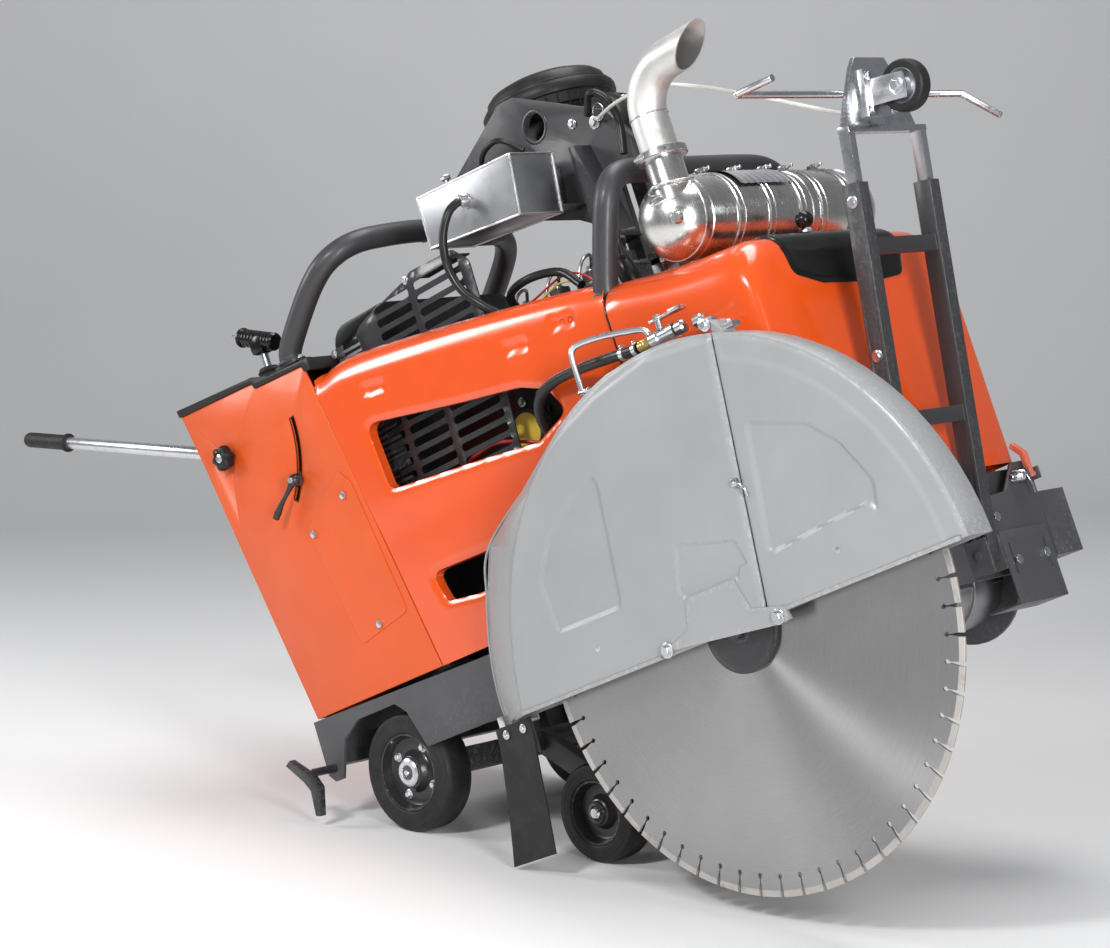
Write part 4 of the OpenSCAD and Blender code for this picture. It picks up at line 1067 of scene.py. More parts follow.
def make_caster():
    c = on_ladder(70, 0, 895)
    tread = [(34, -15), (46, -15), (49, -12), (50, -7), (50, 7), (49, 12), (46, 15), (34, 15)]
    disc = [(34, -15), (33, -17), (20, -10), (17, -19), (7, -19), (7, 19), (17, 19), (20, 10), (33, 17), (34, 15)]
    piece("caster_built", [lathe(tread, c, (0, 1, 0), 72), (*lathe(disc, c, (0, 1, 0), 64), "aluminium")],
          "caster_wheel", "tyre", ["caster_wheel"], sharp=30)


make_caster()

# ---------------------------------------------------------------------------
# Exhaust


def strap_clamp(y, r):
    c = (MUFFLER[0], y, MUFFLER[1])
    band = [(r + 0.6, 0), (r + 2.4, 0.4), (r + 2.4, 19.6), (r + 0.6, 20)]
    parts = [(*lathe(band, c, (0, 1, 0), 96), "stainless")]
    for edge in (1.5, 16.5):
        parts.append((*lathe([(r + 2.3, edge), (r + 3.6, edge + 0.6), (r + 3.6, edge + 1.6), (r + 2.3, edge + 2.2)],
                             c, (0, 1, 0), 96), "stainless"))
    x, z = MUFFLER[0] - 6, MUFFLER[1] + r + 9
    parts += [(*rod((x - 34, y + 10, z + 1), (x + 44, y + 10, z - 3), 3.4, 16), "zinc"),
              (*block((x - 22, y + 1, z - 8), (x - 8, y + 19, z + 5), 2.5), "stainless"),
              (*block((x + 12, y + 1, z - 9), (x + 26, y + 19, z + 4), 2.5), "stainless"),
              (*hexagon((x + 26, y + 10, z - 2), (1, 0, 0), 6, 7, 0), "zinc")]
    return parts


def make_exhaust():
    r = MUFFLER_R
    c = (MUFFLER[0], 0, MUFFLER[1])
    dome = [(r * math.sin(math.radians(a)), -207 - r * math.cos(math.radians(a)) * 0.94) for a in range(0, 91, 6)]
    body = dome + [(r, -206), (r + 1.8, -204), (r + 1.8, -198), (r, -196), (r, -112), (r + 1.4, -110),
                   (r + 1.4, -106), (r, -104), (r, 96), (r + 1.4, 98), (r + 1.4, 102), (r, 104), (r, 262),
                   (r + 1.8, 264), (r + 1.8, 270), (r, 272)]
    body += [((r - 1) * math.cos(math.radians(a)), 272 + (r - 1) * math.sin(math.radians(a)) * 0.94)
             for a in range(6, 91, 6)]
    parts = [lathe(body, c, (0, 1, 0), 96)]
    # pressed boss and slot on the near dome, weld seams, heat-shield ribs
    parts.append((*lathe([(0, 8), (9, 8), (12, 5), (13, 0)], (50, -272, 785), (0.45, -0.85, -0.1), 32), "stainless"))
    d = Vector((0.3, -0.86, 0.42)).normalized()
    mid = Vector(c) + Vector((0, -207, 0)) + d * (r * 0.95)
    slot = []
    u = d.cross(Vector((0, 0, 1))).normalized()
    for k in range(25):
        a = 2 * math.pi * k / 24
        slot.append(mid + u * (26 * math.cos(a)) + d.cross(u) * (8 * math.sin(a)) - d * (abs(math.cos(a)) ** 2 * 4.0))
    parts.append((*sweep(slot, 2.6, 10, False), "stainless"))
    seam = [Vector(c) + Vector((0, -207, 0)) + Vector((r * 0.975 * math.cos(a), -r * 0.2, r * 0.975 * math.sin(a)))
            for a in [2 * math.pi * k / 72 for k in range(73)]]
    parts.append((*sweep(seam, 1.8, 8, False), "weld"))
    # upright stub with its weld collar
    parts.append(lathe([(44, -24), (41, -12), (38, -4), (38, 98), (40.5, 100), (40.5, 104)], (30, -235, 820), (0, 0, 1), 64))
    ring = [(30 + 47 * math.cos(a), -235 + 44 * math.sin(a), 862 - 9 * math.cos(a) ** 2 + 4 * math.sin(a))
            for a in [2 * math.pi * k / 48 for k in range(49)]]
    parts.append((*sweep(ring, 2.6, 10, False), "weld"))
    for y in (-132, -38, 56, 122, 214):
        parts += strap_clamp(y, r)
    # heat shield: a half shell over the middle
    shell, quads = [], []
    rows, cols = 26, 40
    for i in range(rows + 1):
        y = -98 + 150 * i / rows
        for k in range(cols + 1):
            a = math.radians(25 + 135 * k / cols)
            rr = r + 5.2 + (1.6 if i in (0, rows) else 0) + 0.9 * math.sin(i * 1.9)
            shell.append((MUFFLER[0] + rr * math.cos(a), y, MUFFLER[1] + rr * math.sin(a)))
    w = cols + 1
    quads = [(i * w + k, i * w + k + 1, (i + 1) * w + k + 1, (i + 1) * w + k)
             for i in range(rows) for k in range(cols)]
    parts.append((shell, quads, "aluminium"))
    parts += [block((-200, -95, 716), (-168, -45, 790), 4), block((-200, -95, 770), (-70, -45, 800), 4)]
    piece("muffler_built", parts, "chassis", "stainless", ["muffler", "exhaust_clamps"], sharp=34)

    # V-band clamp
    base = (30, -235, 908)
    parts = [lathe([(38.5, 2), (48, 3), (50, 6), (50, 16), (48, 19), (38.5, 20)], base, (0, 0, 1), 72),
             (*lathe([(50, 3.5), (52, 5), (52, 17), (50, 18.5)], base, (0, 0, 1), 72), "zinc"),
             (*rod((66, -262, 919), (66, -214, 919), 4, 20), "zinc"),
             (*block((50, -258, 910), (74, -246, 928), 3), "zinc"),
             (*block((50, -230, 910), (74, -218, 928), 3), "zinc"),
             (*hexagon((66, -262, 919), (0, -1, 0), 7, 8, 0), "zinc"),
             (*rod((4, -286, 919), (30, -284, 919), 3.5, 16), "zinc")]
    piece("exhaust_v_band", parts, "chassis", "zinc", sharp=32)

    # elbow: thin-walled pipe, cut on the slant at its mouth
    bend = 88
    line = [(30, -235, 924 + k * 10) for k in range(8)]
    line += [(30 + bend * (1 - math.cos(math.radians(a))), -235, 924 + 70 + bend * math.sin(math.radians(a)))
             for a in range(5, 91, 5)]
    line += [(30 + bend + k, -235, 924 + 70 + bend) for k in (12, 24, 40, 60, 90)]
    points, n = [], 48
    route = [Vector(q) for q in line]
    cut_at = Vector((30 + bend + 62, -235, 924 + 70 + bend))
    normal = Vector((1, 0, -1)).normalized()
    faces = []
    for radius in (38.0, 35.2):
        base_i = len(points)
        for i, q in enumerate(route):
            t = (route[min(i + 1, len(route) - 1)] - route[max(i - 1, 0)]).normalized()
            u = Vector((0, 1, 0))
            v = t.cross(u)
            for k in range(n):
                a = 2 * math.pi * k / n
                w = q + radius * (math.cos(a) * u + math.sin(a) * v)
                if i > 26 and (w - cut_at).dot(normal) > 0 or i == len(route) - 1:
                    if abs(t.dot(normal)) > 0.2:
                        w = w - t * ((w - cut_at).dot(normal) / t.dot(normal))
                points.append(w)
        for i in range(len(route) - 1):
            for k in range(n):
                k2 = (k + 1) % n
                faces.append((base_i + i * n + k, base_i + i * n + k2, base_i + (i + 1) * n + k2,
                              base_i + (i + 1) * n + k))
    half = len(points) // 2
    for k in range(n):
        k2 = (k + 1) % n
        a, b = half - n + k, half - n + k2
        faces.append((a, b, b + half, a + half))
    parts = [(points, faces)]
    for z in (996, ):
        parts.append((*lathe([(38, 0), (39.4, 1), (39.4, 3), (38, 4)], (30, -235, z), (0, 0, 1), 48), "weld"))
    piece("exhaust_elbow_built", parts, "chassis", "blasted", ["exhaust_elbow"], sharp=50)


make_exhaust()

# ---------------------------------------------------------------------------
# Engine top: precleaner, air cleaner, coolant tank, grille, hoops and hoses


def make_cleaners():
    axis = (-565, 175, 0)
    prof = [(0, 1216), (112, 1216), (124, 1219), (131, 1226), (134, 1238), (140, 1240), (143, 1262), (147, 1264),
            (149, 1272), (149, 1284), (146, 1289), (141, 1290), (140, 1296), (134, 1300), (131, 1312),
            (120, 1322), (99, 1330), (70, 1335), (40, 1337.5), (0, 1338)]
    parts = [lathe(prof, axis, (0, 0, 1), 96)]
    for k in range(36):
        a = 2 * math.pi * k / 36
        c, s = math.cos(a), math.sin(a)
        parts.append(sweep([(axis[0] + r * c, axis[1] + r * s, z)
                            for r, z in ((133, 1226), (139, 1240), (142.5, 1260))], 2.2, 8))
    parts.append(lathe([(45, 1100), (45, 1196), (52, 1200), (52, 1214), (60, 1218)], axis, (0, 0, 1), 64))
    parts.append((*lathe([(46, 1130), (47.5, 1131), (47.5, 1141), (46, 1142)], axis, (0, 0, 1), 64), "stainless"))
    parts.append(block((-565, 130, 1085), (-411, 220, 1145), 14))
    parts.append((*hexagon((-565, 175, 1337), (0, 0, 1), 9, 6, 1.6), "plastic"))
    piece("precleaner_built", parts, "chassis", "plastic", ["precleaner"], sharp=36)

    c = (-330, 0, 1120)
    prof = [(0, 20), (52, 20), (64, 24), (72, 32), (74, 40), (74, 58), (79, 60), (80, 64), (80, 72), (76, 75),
            (76, 84), (80, 87), (80, 98), (75, 101)]
    for y in (106, 122):
        prof += [(75, y), (76.5, y + 2), (76.5, y + 8), (75, y + 10)]
    prof += [(75, 142), (80, 146), (80, 158), (74, 163), (66, 169), (0, 170)]
    parts = [lathe(prof, c, (0, 1, 0), 96)]
    for k in range(3):
        a = math.radians(40 + 120 * k)
        q = (c[0] + 79 * math.cos(a), 78, c[2] + 79 * math.sin(a))
        parts.append((*block((q[0] - 6, 66, q[2] - 5), (q[0] + 6, 100, q[2] + 5), 1.5), "zinc"))
    parts += [(*block((-350, 100, 900), (-310, 160, 1060), 3), "frame"),
              (*block((-350, 30, 795), (-310, 160, 910), 3), "frame"),
              (*block((-350, 10.5, 750), (-310, 45, 830), 3), "frame"),
              block((-411, 140, 1095), (-378, 170, 1135), 8)]
    piece("air_cleaner_built", parts, "chassis", "plastic", ["air_cleaner"], sharp=36)


make_cleaners()


def make_tank():
    """Welded aluminium coolant tank with its beads, filler and fitting."""
    outline = [(-655, 1110), (-368, 1091), (-389, 968), (-658, 1000)]
    parts = [slab(outline, -212, -85, 2.5), slab([(-560, 1090), (-430, 1080), (-440, 1000), (-565, 1015)], -86, -8.5, 2)]
    rng = random.Random(5)
    for y in (-211, -86):
        for k in range(4):
            a, b = outline[k], outline[(k + 1) % 4]
            n = int(math.dist(a, b) / 6)
            line = [(a[0] + (b[0] - a[0]) * i / n, y, a[1] + (b[1] - a[1]) * i / n) for i in range(n + 1)]
            parts.append((*sweep(line, [2.4 + 1.0 * (i % 2) + rng.uniform(-0.2, 0.3) for i in range(n + 1)], 8), "weld"))
    for x, z in outline:
        n = 20
        line = [(x, -211 + 125 * i / n, z) for i in range(n + 1)]
        parts.append((*sweep(line, [2.0 + 0.9 * (i % 2) for i in range(n + 1)], 8), "weld"))
    parts += [(*lathe([(16, 0), (16, 3), (12, 4), (12, 14), (9, 15), (9, 22), (0, 22)], (-520, -212, 1050),
                      (0, -1, 0), 32), "steel"),
              (*hexagon((-520, -216, 1050), (0, -1, 0), 13, 8, 0), "steel"),
              (*rod((-636, -130, 1104), (-636, -130, 1143), 5, 20), "zinc"),
              (*hexagon((-636, -130, 1143), (0, 0, 1), 11, 9, 0), "zinc"),
              (*hexagon((-636, -130, 1108), (0, 0, 1), 11, 8, 1.5), "zinc"),
              (*lathe([(24, 0), (24, 8), (28, 10), (29, 22), (25, 27), (0, 28)], (-480, -50, 1084), (0, 0, 1), 40), "plastic"),
              (*lathe([(27, 0), (27, 4), (22, 6)], (-480, -50, 1082), (0, 0, 1), 40), "aluminium")]
    for x, z in ((-648, 1040), (-400, 1020)):
        parts.append((*block((x - 12, -80, z - 40), (x + 12, -8.2, z - 34), 1), "frame"))
    piece("coolant_tank_built", parts, "chassis", "aluminium", ["coolant_tank"], sharp=38)


make_tank()


def make_grille():
    """Black guard in front of the radiator: rows of rounded slots on a bent sheet."""
    faces_out = []
    outline = rounded([(-985, 520), (-860, 440), (-545, 440), (-526, 700), (-524, 925), (-562, 962), (-707, 966),
                       (-1002, 905)], [10, 20, 20, 10, 24, 16, 6, 20])
    holes = []
    for x0, x1, low, high, n in ((-965, -856, 560, 885, 11), (-842, -722, 470, 945, 16), (-692, -545, 470, 945, 16)):
        for i in range(n):
            z = low + (high - low) * (i + 0.5) / n
            if x0 < -900 and z > 868:
                continue
            h = (high - low) / n * 0.29
            holes.append(rounded([(x0, z - h), (x1, z - h), (x1, z + h), (x0, z + h)], h * 0.98, 4))
    p, faces, loops = flat_mesh(outline, holes, 14.0)
    y = -246 - 18 * step_up(p[:, 0] + 740, 60) + 26 * step_up(-870 - p[:, 0], 120)
    y = np.maximum(y, -262)
    edge = edge_distance(p, outline)
    y += 8 * np.clip(1 - edge / 10, 0, 1) ** 2
    front = [(q[0], k, q[1]) for q, k in zip(p, y)]
    back = [(q[0], k + 3.2, q[1]) for q, k in zip(p, y)]
    parts = [(front, faces), (back, [f[::-1] for f in faces])]
    for loop in loops:
        n = len(loop)
        wall = [front[i] for i in loop] + [back[i] for i in loop]
        parts.append((wall, [(k, (k + 1) % n, n + (k + 1) % n, n + k) for k in range(n)]))
    # top flange back to the radiator, a side strip and a bracket
    parts += [block((-700, -244, 950), (-566, -200, 954), 1), block((-985, -244, 600), (-872, -238, 620), 1),
              (*block((-1000, -236, 880), (-975, -205, 905), 2), "frame")]
    for x, z in ((-992, 890), (-548, 905), (-548, 470), (-720, 955)):
        parts.append((*hexagon((x, -249, z), (0, -1, 0), 6, 4, 1.5), "zinc"))
    piece("radiator_grille_built", parts, "chassis", "black_paint", ["radiator_grille"], sharp=35)

    # finned radiator core behind it
    core = []
    for k in range(46):
        z = 300 + 13 * k
        core.append((*block((-996, -236.5, z), (-884, -234.5, z + 6), 0), "aluminium"))
    piece("radiator_fins", core, "chassis", "aluminium")


make_grille()


def make_hoops():
    def both(run):
        half = cut_corners(run, 2)
        return half + [Vector((q.x, -q.y, q.z)) for q in reversed(half[:-1])]

    rear = [(-1085, -290, 906), (-1082, -290, 932), (-1050, -290, 962), (-1005, -290, 1000), (-960, -288, 1036),
            (-915, -278, 1068), (-880, -250, 1088), (-862, -205, 1100), (-856, -140, 1106), (-852, -70, 1110),
            (-852, 0, 1111)]
    front = [(-183, -270, 700), (-176, -270, 735), (-150, -270, 795), (-124, -270, 852), (-106, -268, 890),
             (-98, -250, 922), (-98, -210, 940), (-100, -140, 943), (-103, -70, 944), (-104, 0, 944)]
    for name, run, extra in (("rear_hoop", rear, []), ("front_hoop", front, [])):
        line = smooth_route(both(run), 3)
        parts = [sweep(line, 25, 32)]
        if name == "rear_hoop":
            for s in (-1, 1):
                parts.append(block((-1122, min(s * 262, s * 308), 901.5), (-1050, max(s * 262, s * 308), 909), 2))
                ring = [(-1085 + 27 * math.cos(a), s * 290 + 27 * math.sin(a), 910)
                        for a in [2 * math.pi * k / 32 for k in range(33)]]
                parts.append(sweep(ring, 3.2, 8, False))
                for x in (-1112, -1060):
                    parts.append((*hexagon((x, s * 285, 909), (0, 0, 1), 8, 6, 1.5), "zinc"))
            parts.append(block((-868, -20, 1088), (-796, -8.5, 1114), 1.5))
        else:
            for s in (-1, 1):
                parts += [block((-196, min(s * 242, s * 298), 160.5), (-168, max(s * 242, s * 298), 720), 2),
                          block((-215, min(s * 210, s * 301), 152.5), (-150, max(s * 210, s * 301), 166), 2)]
            parts.append(block((-200, -20, 925), (-110, -8.5, 975), 1.5))
        piece(name + "_built", parts, "chassis", "hoop", [name], sharp=40)


make_hoops()


def hose(name, run, r, node, clamps, times=1):
    line = smooth_route(cut_corners(run, times), 6)
    parts = [sweep(line, r, 28)]
    for place in clamps:
        i = int(place * (len(line) - 2))
        a, b = line[i], line[i + 1]
        d = (b - a).normalized()
        parts.append((*lathe([(r + 0.3, 0), (r + 1.6, 0.5), (r + 1.6, 9.5), (r + 0.3, 10)], a, d, 32), "stainless"))
        parts.append((*block(tuple(a + d * 5 + Vector((-4, -4, r))), tuple(a + d * 5 + Vector((4, 4, r + 6))), 1), "stainless"))
    piece(name, parts, "chassis", "hose", [node], sharp=50)


hose("water_hose_built",
     [(-41, -386, 562), (-60, -385, 563), (-120, -378, 572), (-190, -364, 582), (-260, -348, 590),
      (-320, -338, 592), (-365, -332, 584), (-398, -320, 562), (-418, -296, 528), (-428, -262, 485),
      (-425, -225, 445), (-412, -190, 415), (-402, -165, 402), (-400, -150, 400)], 11, "water_hose", (0.02, 0.12))
hose("coolant_hose_built",
     [(-520, -223, 1050), (-522, -240, 1048), (-535, -262, 1030), (-560, -272, 985), (-570, -272, 930),
      (-555, -270, 870), (-520, -262, 825), (-492, -240, 790), (-480, -200, 755), (-478, -160, 735),
      (-477, -120, 730)], 9, "coolant_hose", (0.02, 0.95))

# ---------------------------------------------------------------------------
# Small hardware: engine top, controls, hinge, valve, front plate, rope rings


def wire(points, r, material, n=10):
    return (*sweep(smooth_route(points, 6), r, n), material)


def make_engine():
    parts = []
    # valve cover with ribs, bolts and fuel lines, seen between the cowls
    for k in range(9):
        x = -608 + 42 * k
        parts.append((*block((x, -92, 798), (x + 12, -18, 806), 2), "casting"))
    for k, x in enumerate((-590, -490, -390, -290)):
        parts.append((*lathe([(23, 0), (25, 3), (25, 12), (21, 15), (12, 16), (11, 40), (0, 41)],
                             (x, -55, 800), (0, 0, 1), 36), "steel"))
        parts.append((*hexagon((x, -55, 840), (0, 0, 1), 9, 8, 0), "zinc"))
        parts.append(wire([(x + 9, -60, 846), (x + 30, -78, 862), (x + 34, -112, 848), (x + 20, -128, 800),
                           (x + 16, -126, 740)], 3.6, "steel"))
        parts.append((*hexagon((x + 16, -122, 742), (0, -1, 0), 9, 12, 0), "brass"))
    for k in range(8):
        x = -625 + 56 * k
        for z in (640, 748):
            parts.append((*hexagon((x, -120, z), (0, -1, 0), 7, 5, 1.5), "zinc"))
    # intake manifold and hoses
    parts += [(*rod((-620, -138, 690), (-240, -138, 690), 26, 32, 6), "casting"),
              wire([(-240, -138, 690), (-205, -150, 706), (-192, -168, 742), (-205, -170, 790), (-240, -140, 824),
                    (-300, -90, 846)], 21, "hose", 24),
              wire([(-640, -60, 700), (-690, -80, 740), (-760, -60, 800), (-820, -20, 850), (-872, 0, 880)], 24, "hose", 24),
              wire([(-560, -100, 800), (-520, -170, 838), (-440, -190, 846), (-360, -180, 830), (-300, -196, 780)], 9, "hose", 16),
              wire([(-300, -80, 812), (-240, -120, 852), (-180, -190, 838), (-150, -226, 780)], 7, "hose", 14),
              wire([(-640, -110, 770), (-560, -150, 812), (-470, -170, 806), (-380, -160, 826), (-310, -175, 806),
                    (-262, -180, 758)], 2.4, "red_wire"),
              wire([(-640, -116, 760), (-556, -158, 800), (-466, -176, 792), (-384, -170, 812), (-318, -182, 794)], 2.2, "yellow")]
    # alternator, filter, dipstick and oil cap
    parts += [(*lathe([(0, 0), (30, 0), (60, 4), (70, 14), (72, 30), (72, 52), (66, 60), (64, 66)], (-300, -215, 560),
                      (0, 1, 0), 48), "aluminium"),
              (*lathe([(0, -14), (18, -14), (42, -12), (44, -2), (20, 0)], (-300, -216, 560), (0, 1, 0), 48), "steel"),
              (*lathe([(0, 0), (38, 0), (44, 6), (45, 52)], (-560, -201, 560), (0, 1, 0), 40), "yellow"),
              (*lathe([(0, 14), (20, 14), (26, 10), (27, 0)], (-330, -55, 806), (0, 0, 1), 32), "yellow"),
              wire([(-230, -130, 560), (-212, -150, 660), (-226, -166, 760), (-222, -172, 812)], 4, "steel"),
              (*lathe([(9, 0), (9, 16), (4, 22), (0, 22)], (-222, -172, 810), (0, 0, 1), 20), "yellow")]
    for k in range(12):
        a = 2 * math.pi * k / 12
        q = (-300 + 56 * math.cos(a), -209, 560 + 56 * math.sin(a))
        parts.append((*rod(q, (q[0], -216.5, q[2]), 4, 10), "gloss_black"))
    # crankcase ribs and the starter, seen through the window
    for k in range(8):
        x = -640 + 55 * k
        parts.append((*block((x, -158, 240), (x + 9, -150, 600), 2), "casting"))
    parts += [(*rod((-520, -190, 440), (-380, -190, 440), 42, 36, 5), "casting"),
              (*rod((-500, -176, 500), (-400, -176, 500), 22, 28, 4), "zinc"),
              (*rod((-380, -190, 440), (-352, -190, 440), 30, 28, 4), "aluminium"),
              wire([(-400, -176, 500), (-350, -200, 540), (-330, -226, 600), (-300, -230, 660)], 5, "red_wire"),
              wire([(-500, -180, 508), (-560, -220, 540), (-640, -232, 560), (-760, -236, 540), (-860, -236, 520)], 4, "red_wire"),
              wire([(-330, -216, 470), (-300, -246, 560), (-330, -250, 640), (-420, -240, 700), (-470, -180, 740)], 8, "hose", 14)]
    piece("engine_dressing", parts, "chassis", "casting", sharp=36)


make_engine()


def make_controls():
    parts = []
    # tilt lock: pressed washer, hex boss and handle with a ball end
    cx = HANDLE_PIVOT[0] + 235 * math.cos(math.radians(-30.4))
    cz = HANDLE_PIVOT[1] + 235 * math.sin(math.radians(-30.4))
    parts = [lathe([(0, 26), (8, 26), (12, 22), (14, 14), (15, 4), (13, 3)], (cx, -BODY_HALF, cz), (0, -1, 0), 36),
             (*lathe([(0, 28.5), (6, 28.5), (7, 26)], (cx, -BODY_HALF, cz), (0, -1, 0), 24), "zinc")]
    aim = Vector((-0.78, 0, -0.62)).normalized()
    line = [Vector((cx, -BODY_HALF - 17, cz)) + aim * s + Vector((0, -d, 0))
            for s, d in ((4, 0), (25, 3), (55, 9), (80, 11), (98, 11))]
    route = smooth_route(line, 5)
    radii = [8.5 - 3.4 * math.sin(math.pi * min(1, i / (len(route) - 5))) if i < len(route) - 4 else 7.6
             for i in range(len(route))]
    parts.append(sweep(route, radii, 20))
    parts.append((*hexagon(tuple(Vector((cx, -BODY_HALF + 14, cz))), (0, 1, 0), 11, 5, 0), "zinc"))
    piece("tilt_lock_built", parts, "ratchet_lever", "black_paint", ["ratchet_lever"], sharp=36)
    # six-lobed knob
    c = Vector((HANDLE_PIVOT[0], -BODY_HALF, HANDLE_PIVOT[1]))
    n, rows = 96, [(0.55, 2), (0.86, 4), (1.0, 9), (1.0, 22), (0.93, 27), (0.78, 29.5), (0.5, 30), (0.46, 27.5), (0.0, 27.5)]
    points, faces = [], []
    for f, h in rows:
        for k in range(n):
            a = 2 * math.pi * k / n
            r = f * (25.2 + 3.4 * math.cos(6 * a) * (1 if f > 0.7 else f))
            points.append(c + Vector((r * math.cos(a), -h, r * math.sin(a))))
    for i in range(len(rows) - 1):
        for k in range(n):
            k2 = (k + 1) % n
            faces.append((i * n + k, i * n + k2, (i + 1) * n + k2, (i + 1) * n + k))
    knob = [(points, faces), (*hexagon(tuple(c + Vector((0, -27.5, 0))), (0, -1, 0), 7, 4, 1.4), "zinc")]
    piece("pivot_knob_built", knob, "pivot_knob", "plastic", ["pivot_knob"], sharp=40)
    # slot liner on the console side
    ring = ([(HANDLE_PIVOT[0] + 242 * math.cos(math.radians(a)), -BODY_HALF - 0.6,
              HANDLE_PIVOT[1] + 242 * math.sin(math.radians(a))) for a in range(3, -44, -3)]
            + [(HANDLE_PIVOT[0] + 228 * math.cos(math.radians(a)), -BODY_HALF - 0.6,
                HANDLE_PIVOT[1] + 228 * math.sin(math.radians(a))) for a in range(-42, 4, 3)])
    panel = rounded([(-1020, 642), (-1165, 556), (-1100, 277), (-935, 304), (-990, 606)], 14)
    sheet = pressed_sheet(panel, [], [], -BODY_HALF - 3.6, edge=(2.5, 1.6), step=16, lip=3.4)
    piece("access_panel_built", [sheet, (*sweep(ring + [ring[0]], 1.1, 8, False), "gloss_black")], "chassis",
          "console", ["access_panel"], sharp=40)
    # tray: gauge bezels and switches
    parts = []
    for y, r in ((-120, 34), (-30, 26), (50, 26), (140, 34)):
        parts.append((*lathe([(r, -8), (r, 0), (r - 3, 3), (r - 6, 1.5), (r - 6.5, -1), (0, -1)],
                             (-1330, y, 922), (0.04, 0, 1), 48), "zinc"))
        parts.append((*lathe([(r - 6, -0.6), (0, 0.8)], (-1330, y, 922), (0.04, 0, 1), 40), "plastic"))
    for k in range(5):
        y = -90 + 45 * k
        parts.append((*rod((-1262, y, 914), (-1262, y, 930), 7, 20), "zinc"))
        parts.append((*rod((-1262, y, 928), (-1266, y, 950), 3.4, 14), "zinc"))
    parts += [(*lathe([(0, 30), (20, 30), (27, 26), (28, 18), (16, 8), (14, 0)], (-1400, 190, 926), (0, 0, 1), 40), "red_wire"),
              (*block((-1300, -226, 905), (-1226, -174, 932), 6), "plastic"),
              (*lathe([(34, 0), (31, 6), (24, 10), (26, 16), (22, 21), (21, 25), (17, 26)], (-1262, -200, 930), (0, 0, 1), 40), "rubber")]
    piece("tray_instruments", parts, "chassis", "plastic", sharp=34)
    # joystick grip
    d = Vector((math.sin(math.radians(115)), 0, math.cos(math.radians(115))))
    a = Vector((-1318, -200, 1047))
    prof = [(0, 0), (19, 0), (22.5, 2), (22.5, 6), (19, 9)]
    for k in range(8):
        prof += [(19.0, 14 + 11 * k), (20.4, 17 + 11 * k), (20.4, 21 + 11 * k), (19.0, 24 + 11 * k)]
    prof += [(19.5, 104), (20.5, 110), (17, 115), (0, 116)]
    joy = [lathe(prof, a, d, 40), (*rod((-1262, -200, 936), (-1262, -200, 1004), 9, 24), "zinc"),
           (*lathe([(0, -16), (11, -12), (16, 0), (12, 10), (9, 13)], (-1262, -200, 936), (0, 0, 1), 32), "plastic"),
           block((-1283, -222, 988), (-1241, -178, 1030), 12)]
    piece("speed_lever_built", joy, "speed_lever", "gloss_black", ["speed_lever"], sharp=40)


make_controls()


def make_handles():
    for s, name in ((-1, "right"), (1, "left")):
        prof = [(0, 0), (18, 0), (22, 1.5), (22, 5), (18, 8)]
        for k in range(11):
            prof += [(17.2, 12 + 12 * k), (18, 14 + 12 * k), (18, 19 + 12 * k), (17.2, 21 + 12 * k)]
        prof += [(17.8, 146), (18, 150), (16, 156), (9, 158), (0, 158)]
        a = on_handle(s * HANDLE_Y, HANDLE_LEN - 158)
        b = on_handle(s * HANDLE_Y, HANDLE_LEN)
        piece(name + "_grip_built", [lathe(prof, a, Vector(b) - Vector(a), 48)], name + "_handle", "rubber",
              [name + "_grip"], sharp=40)


make_handles()


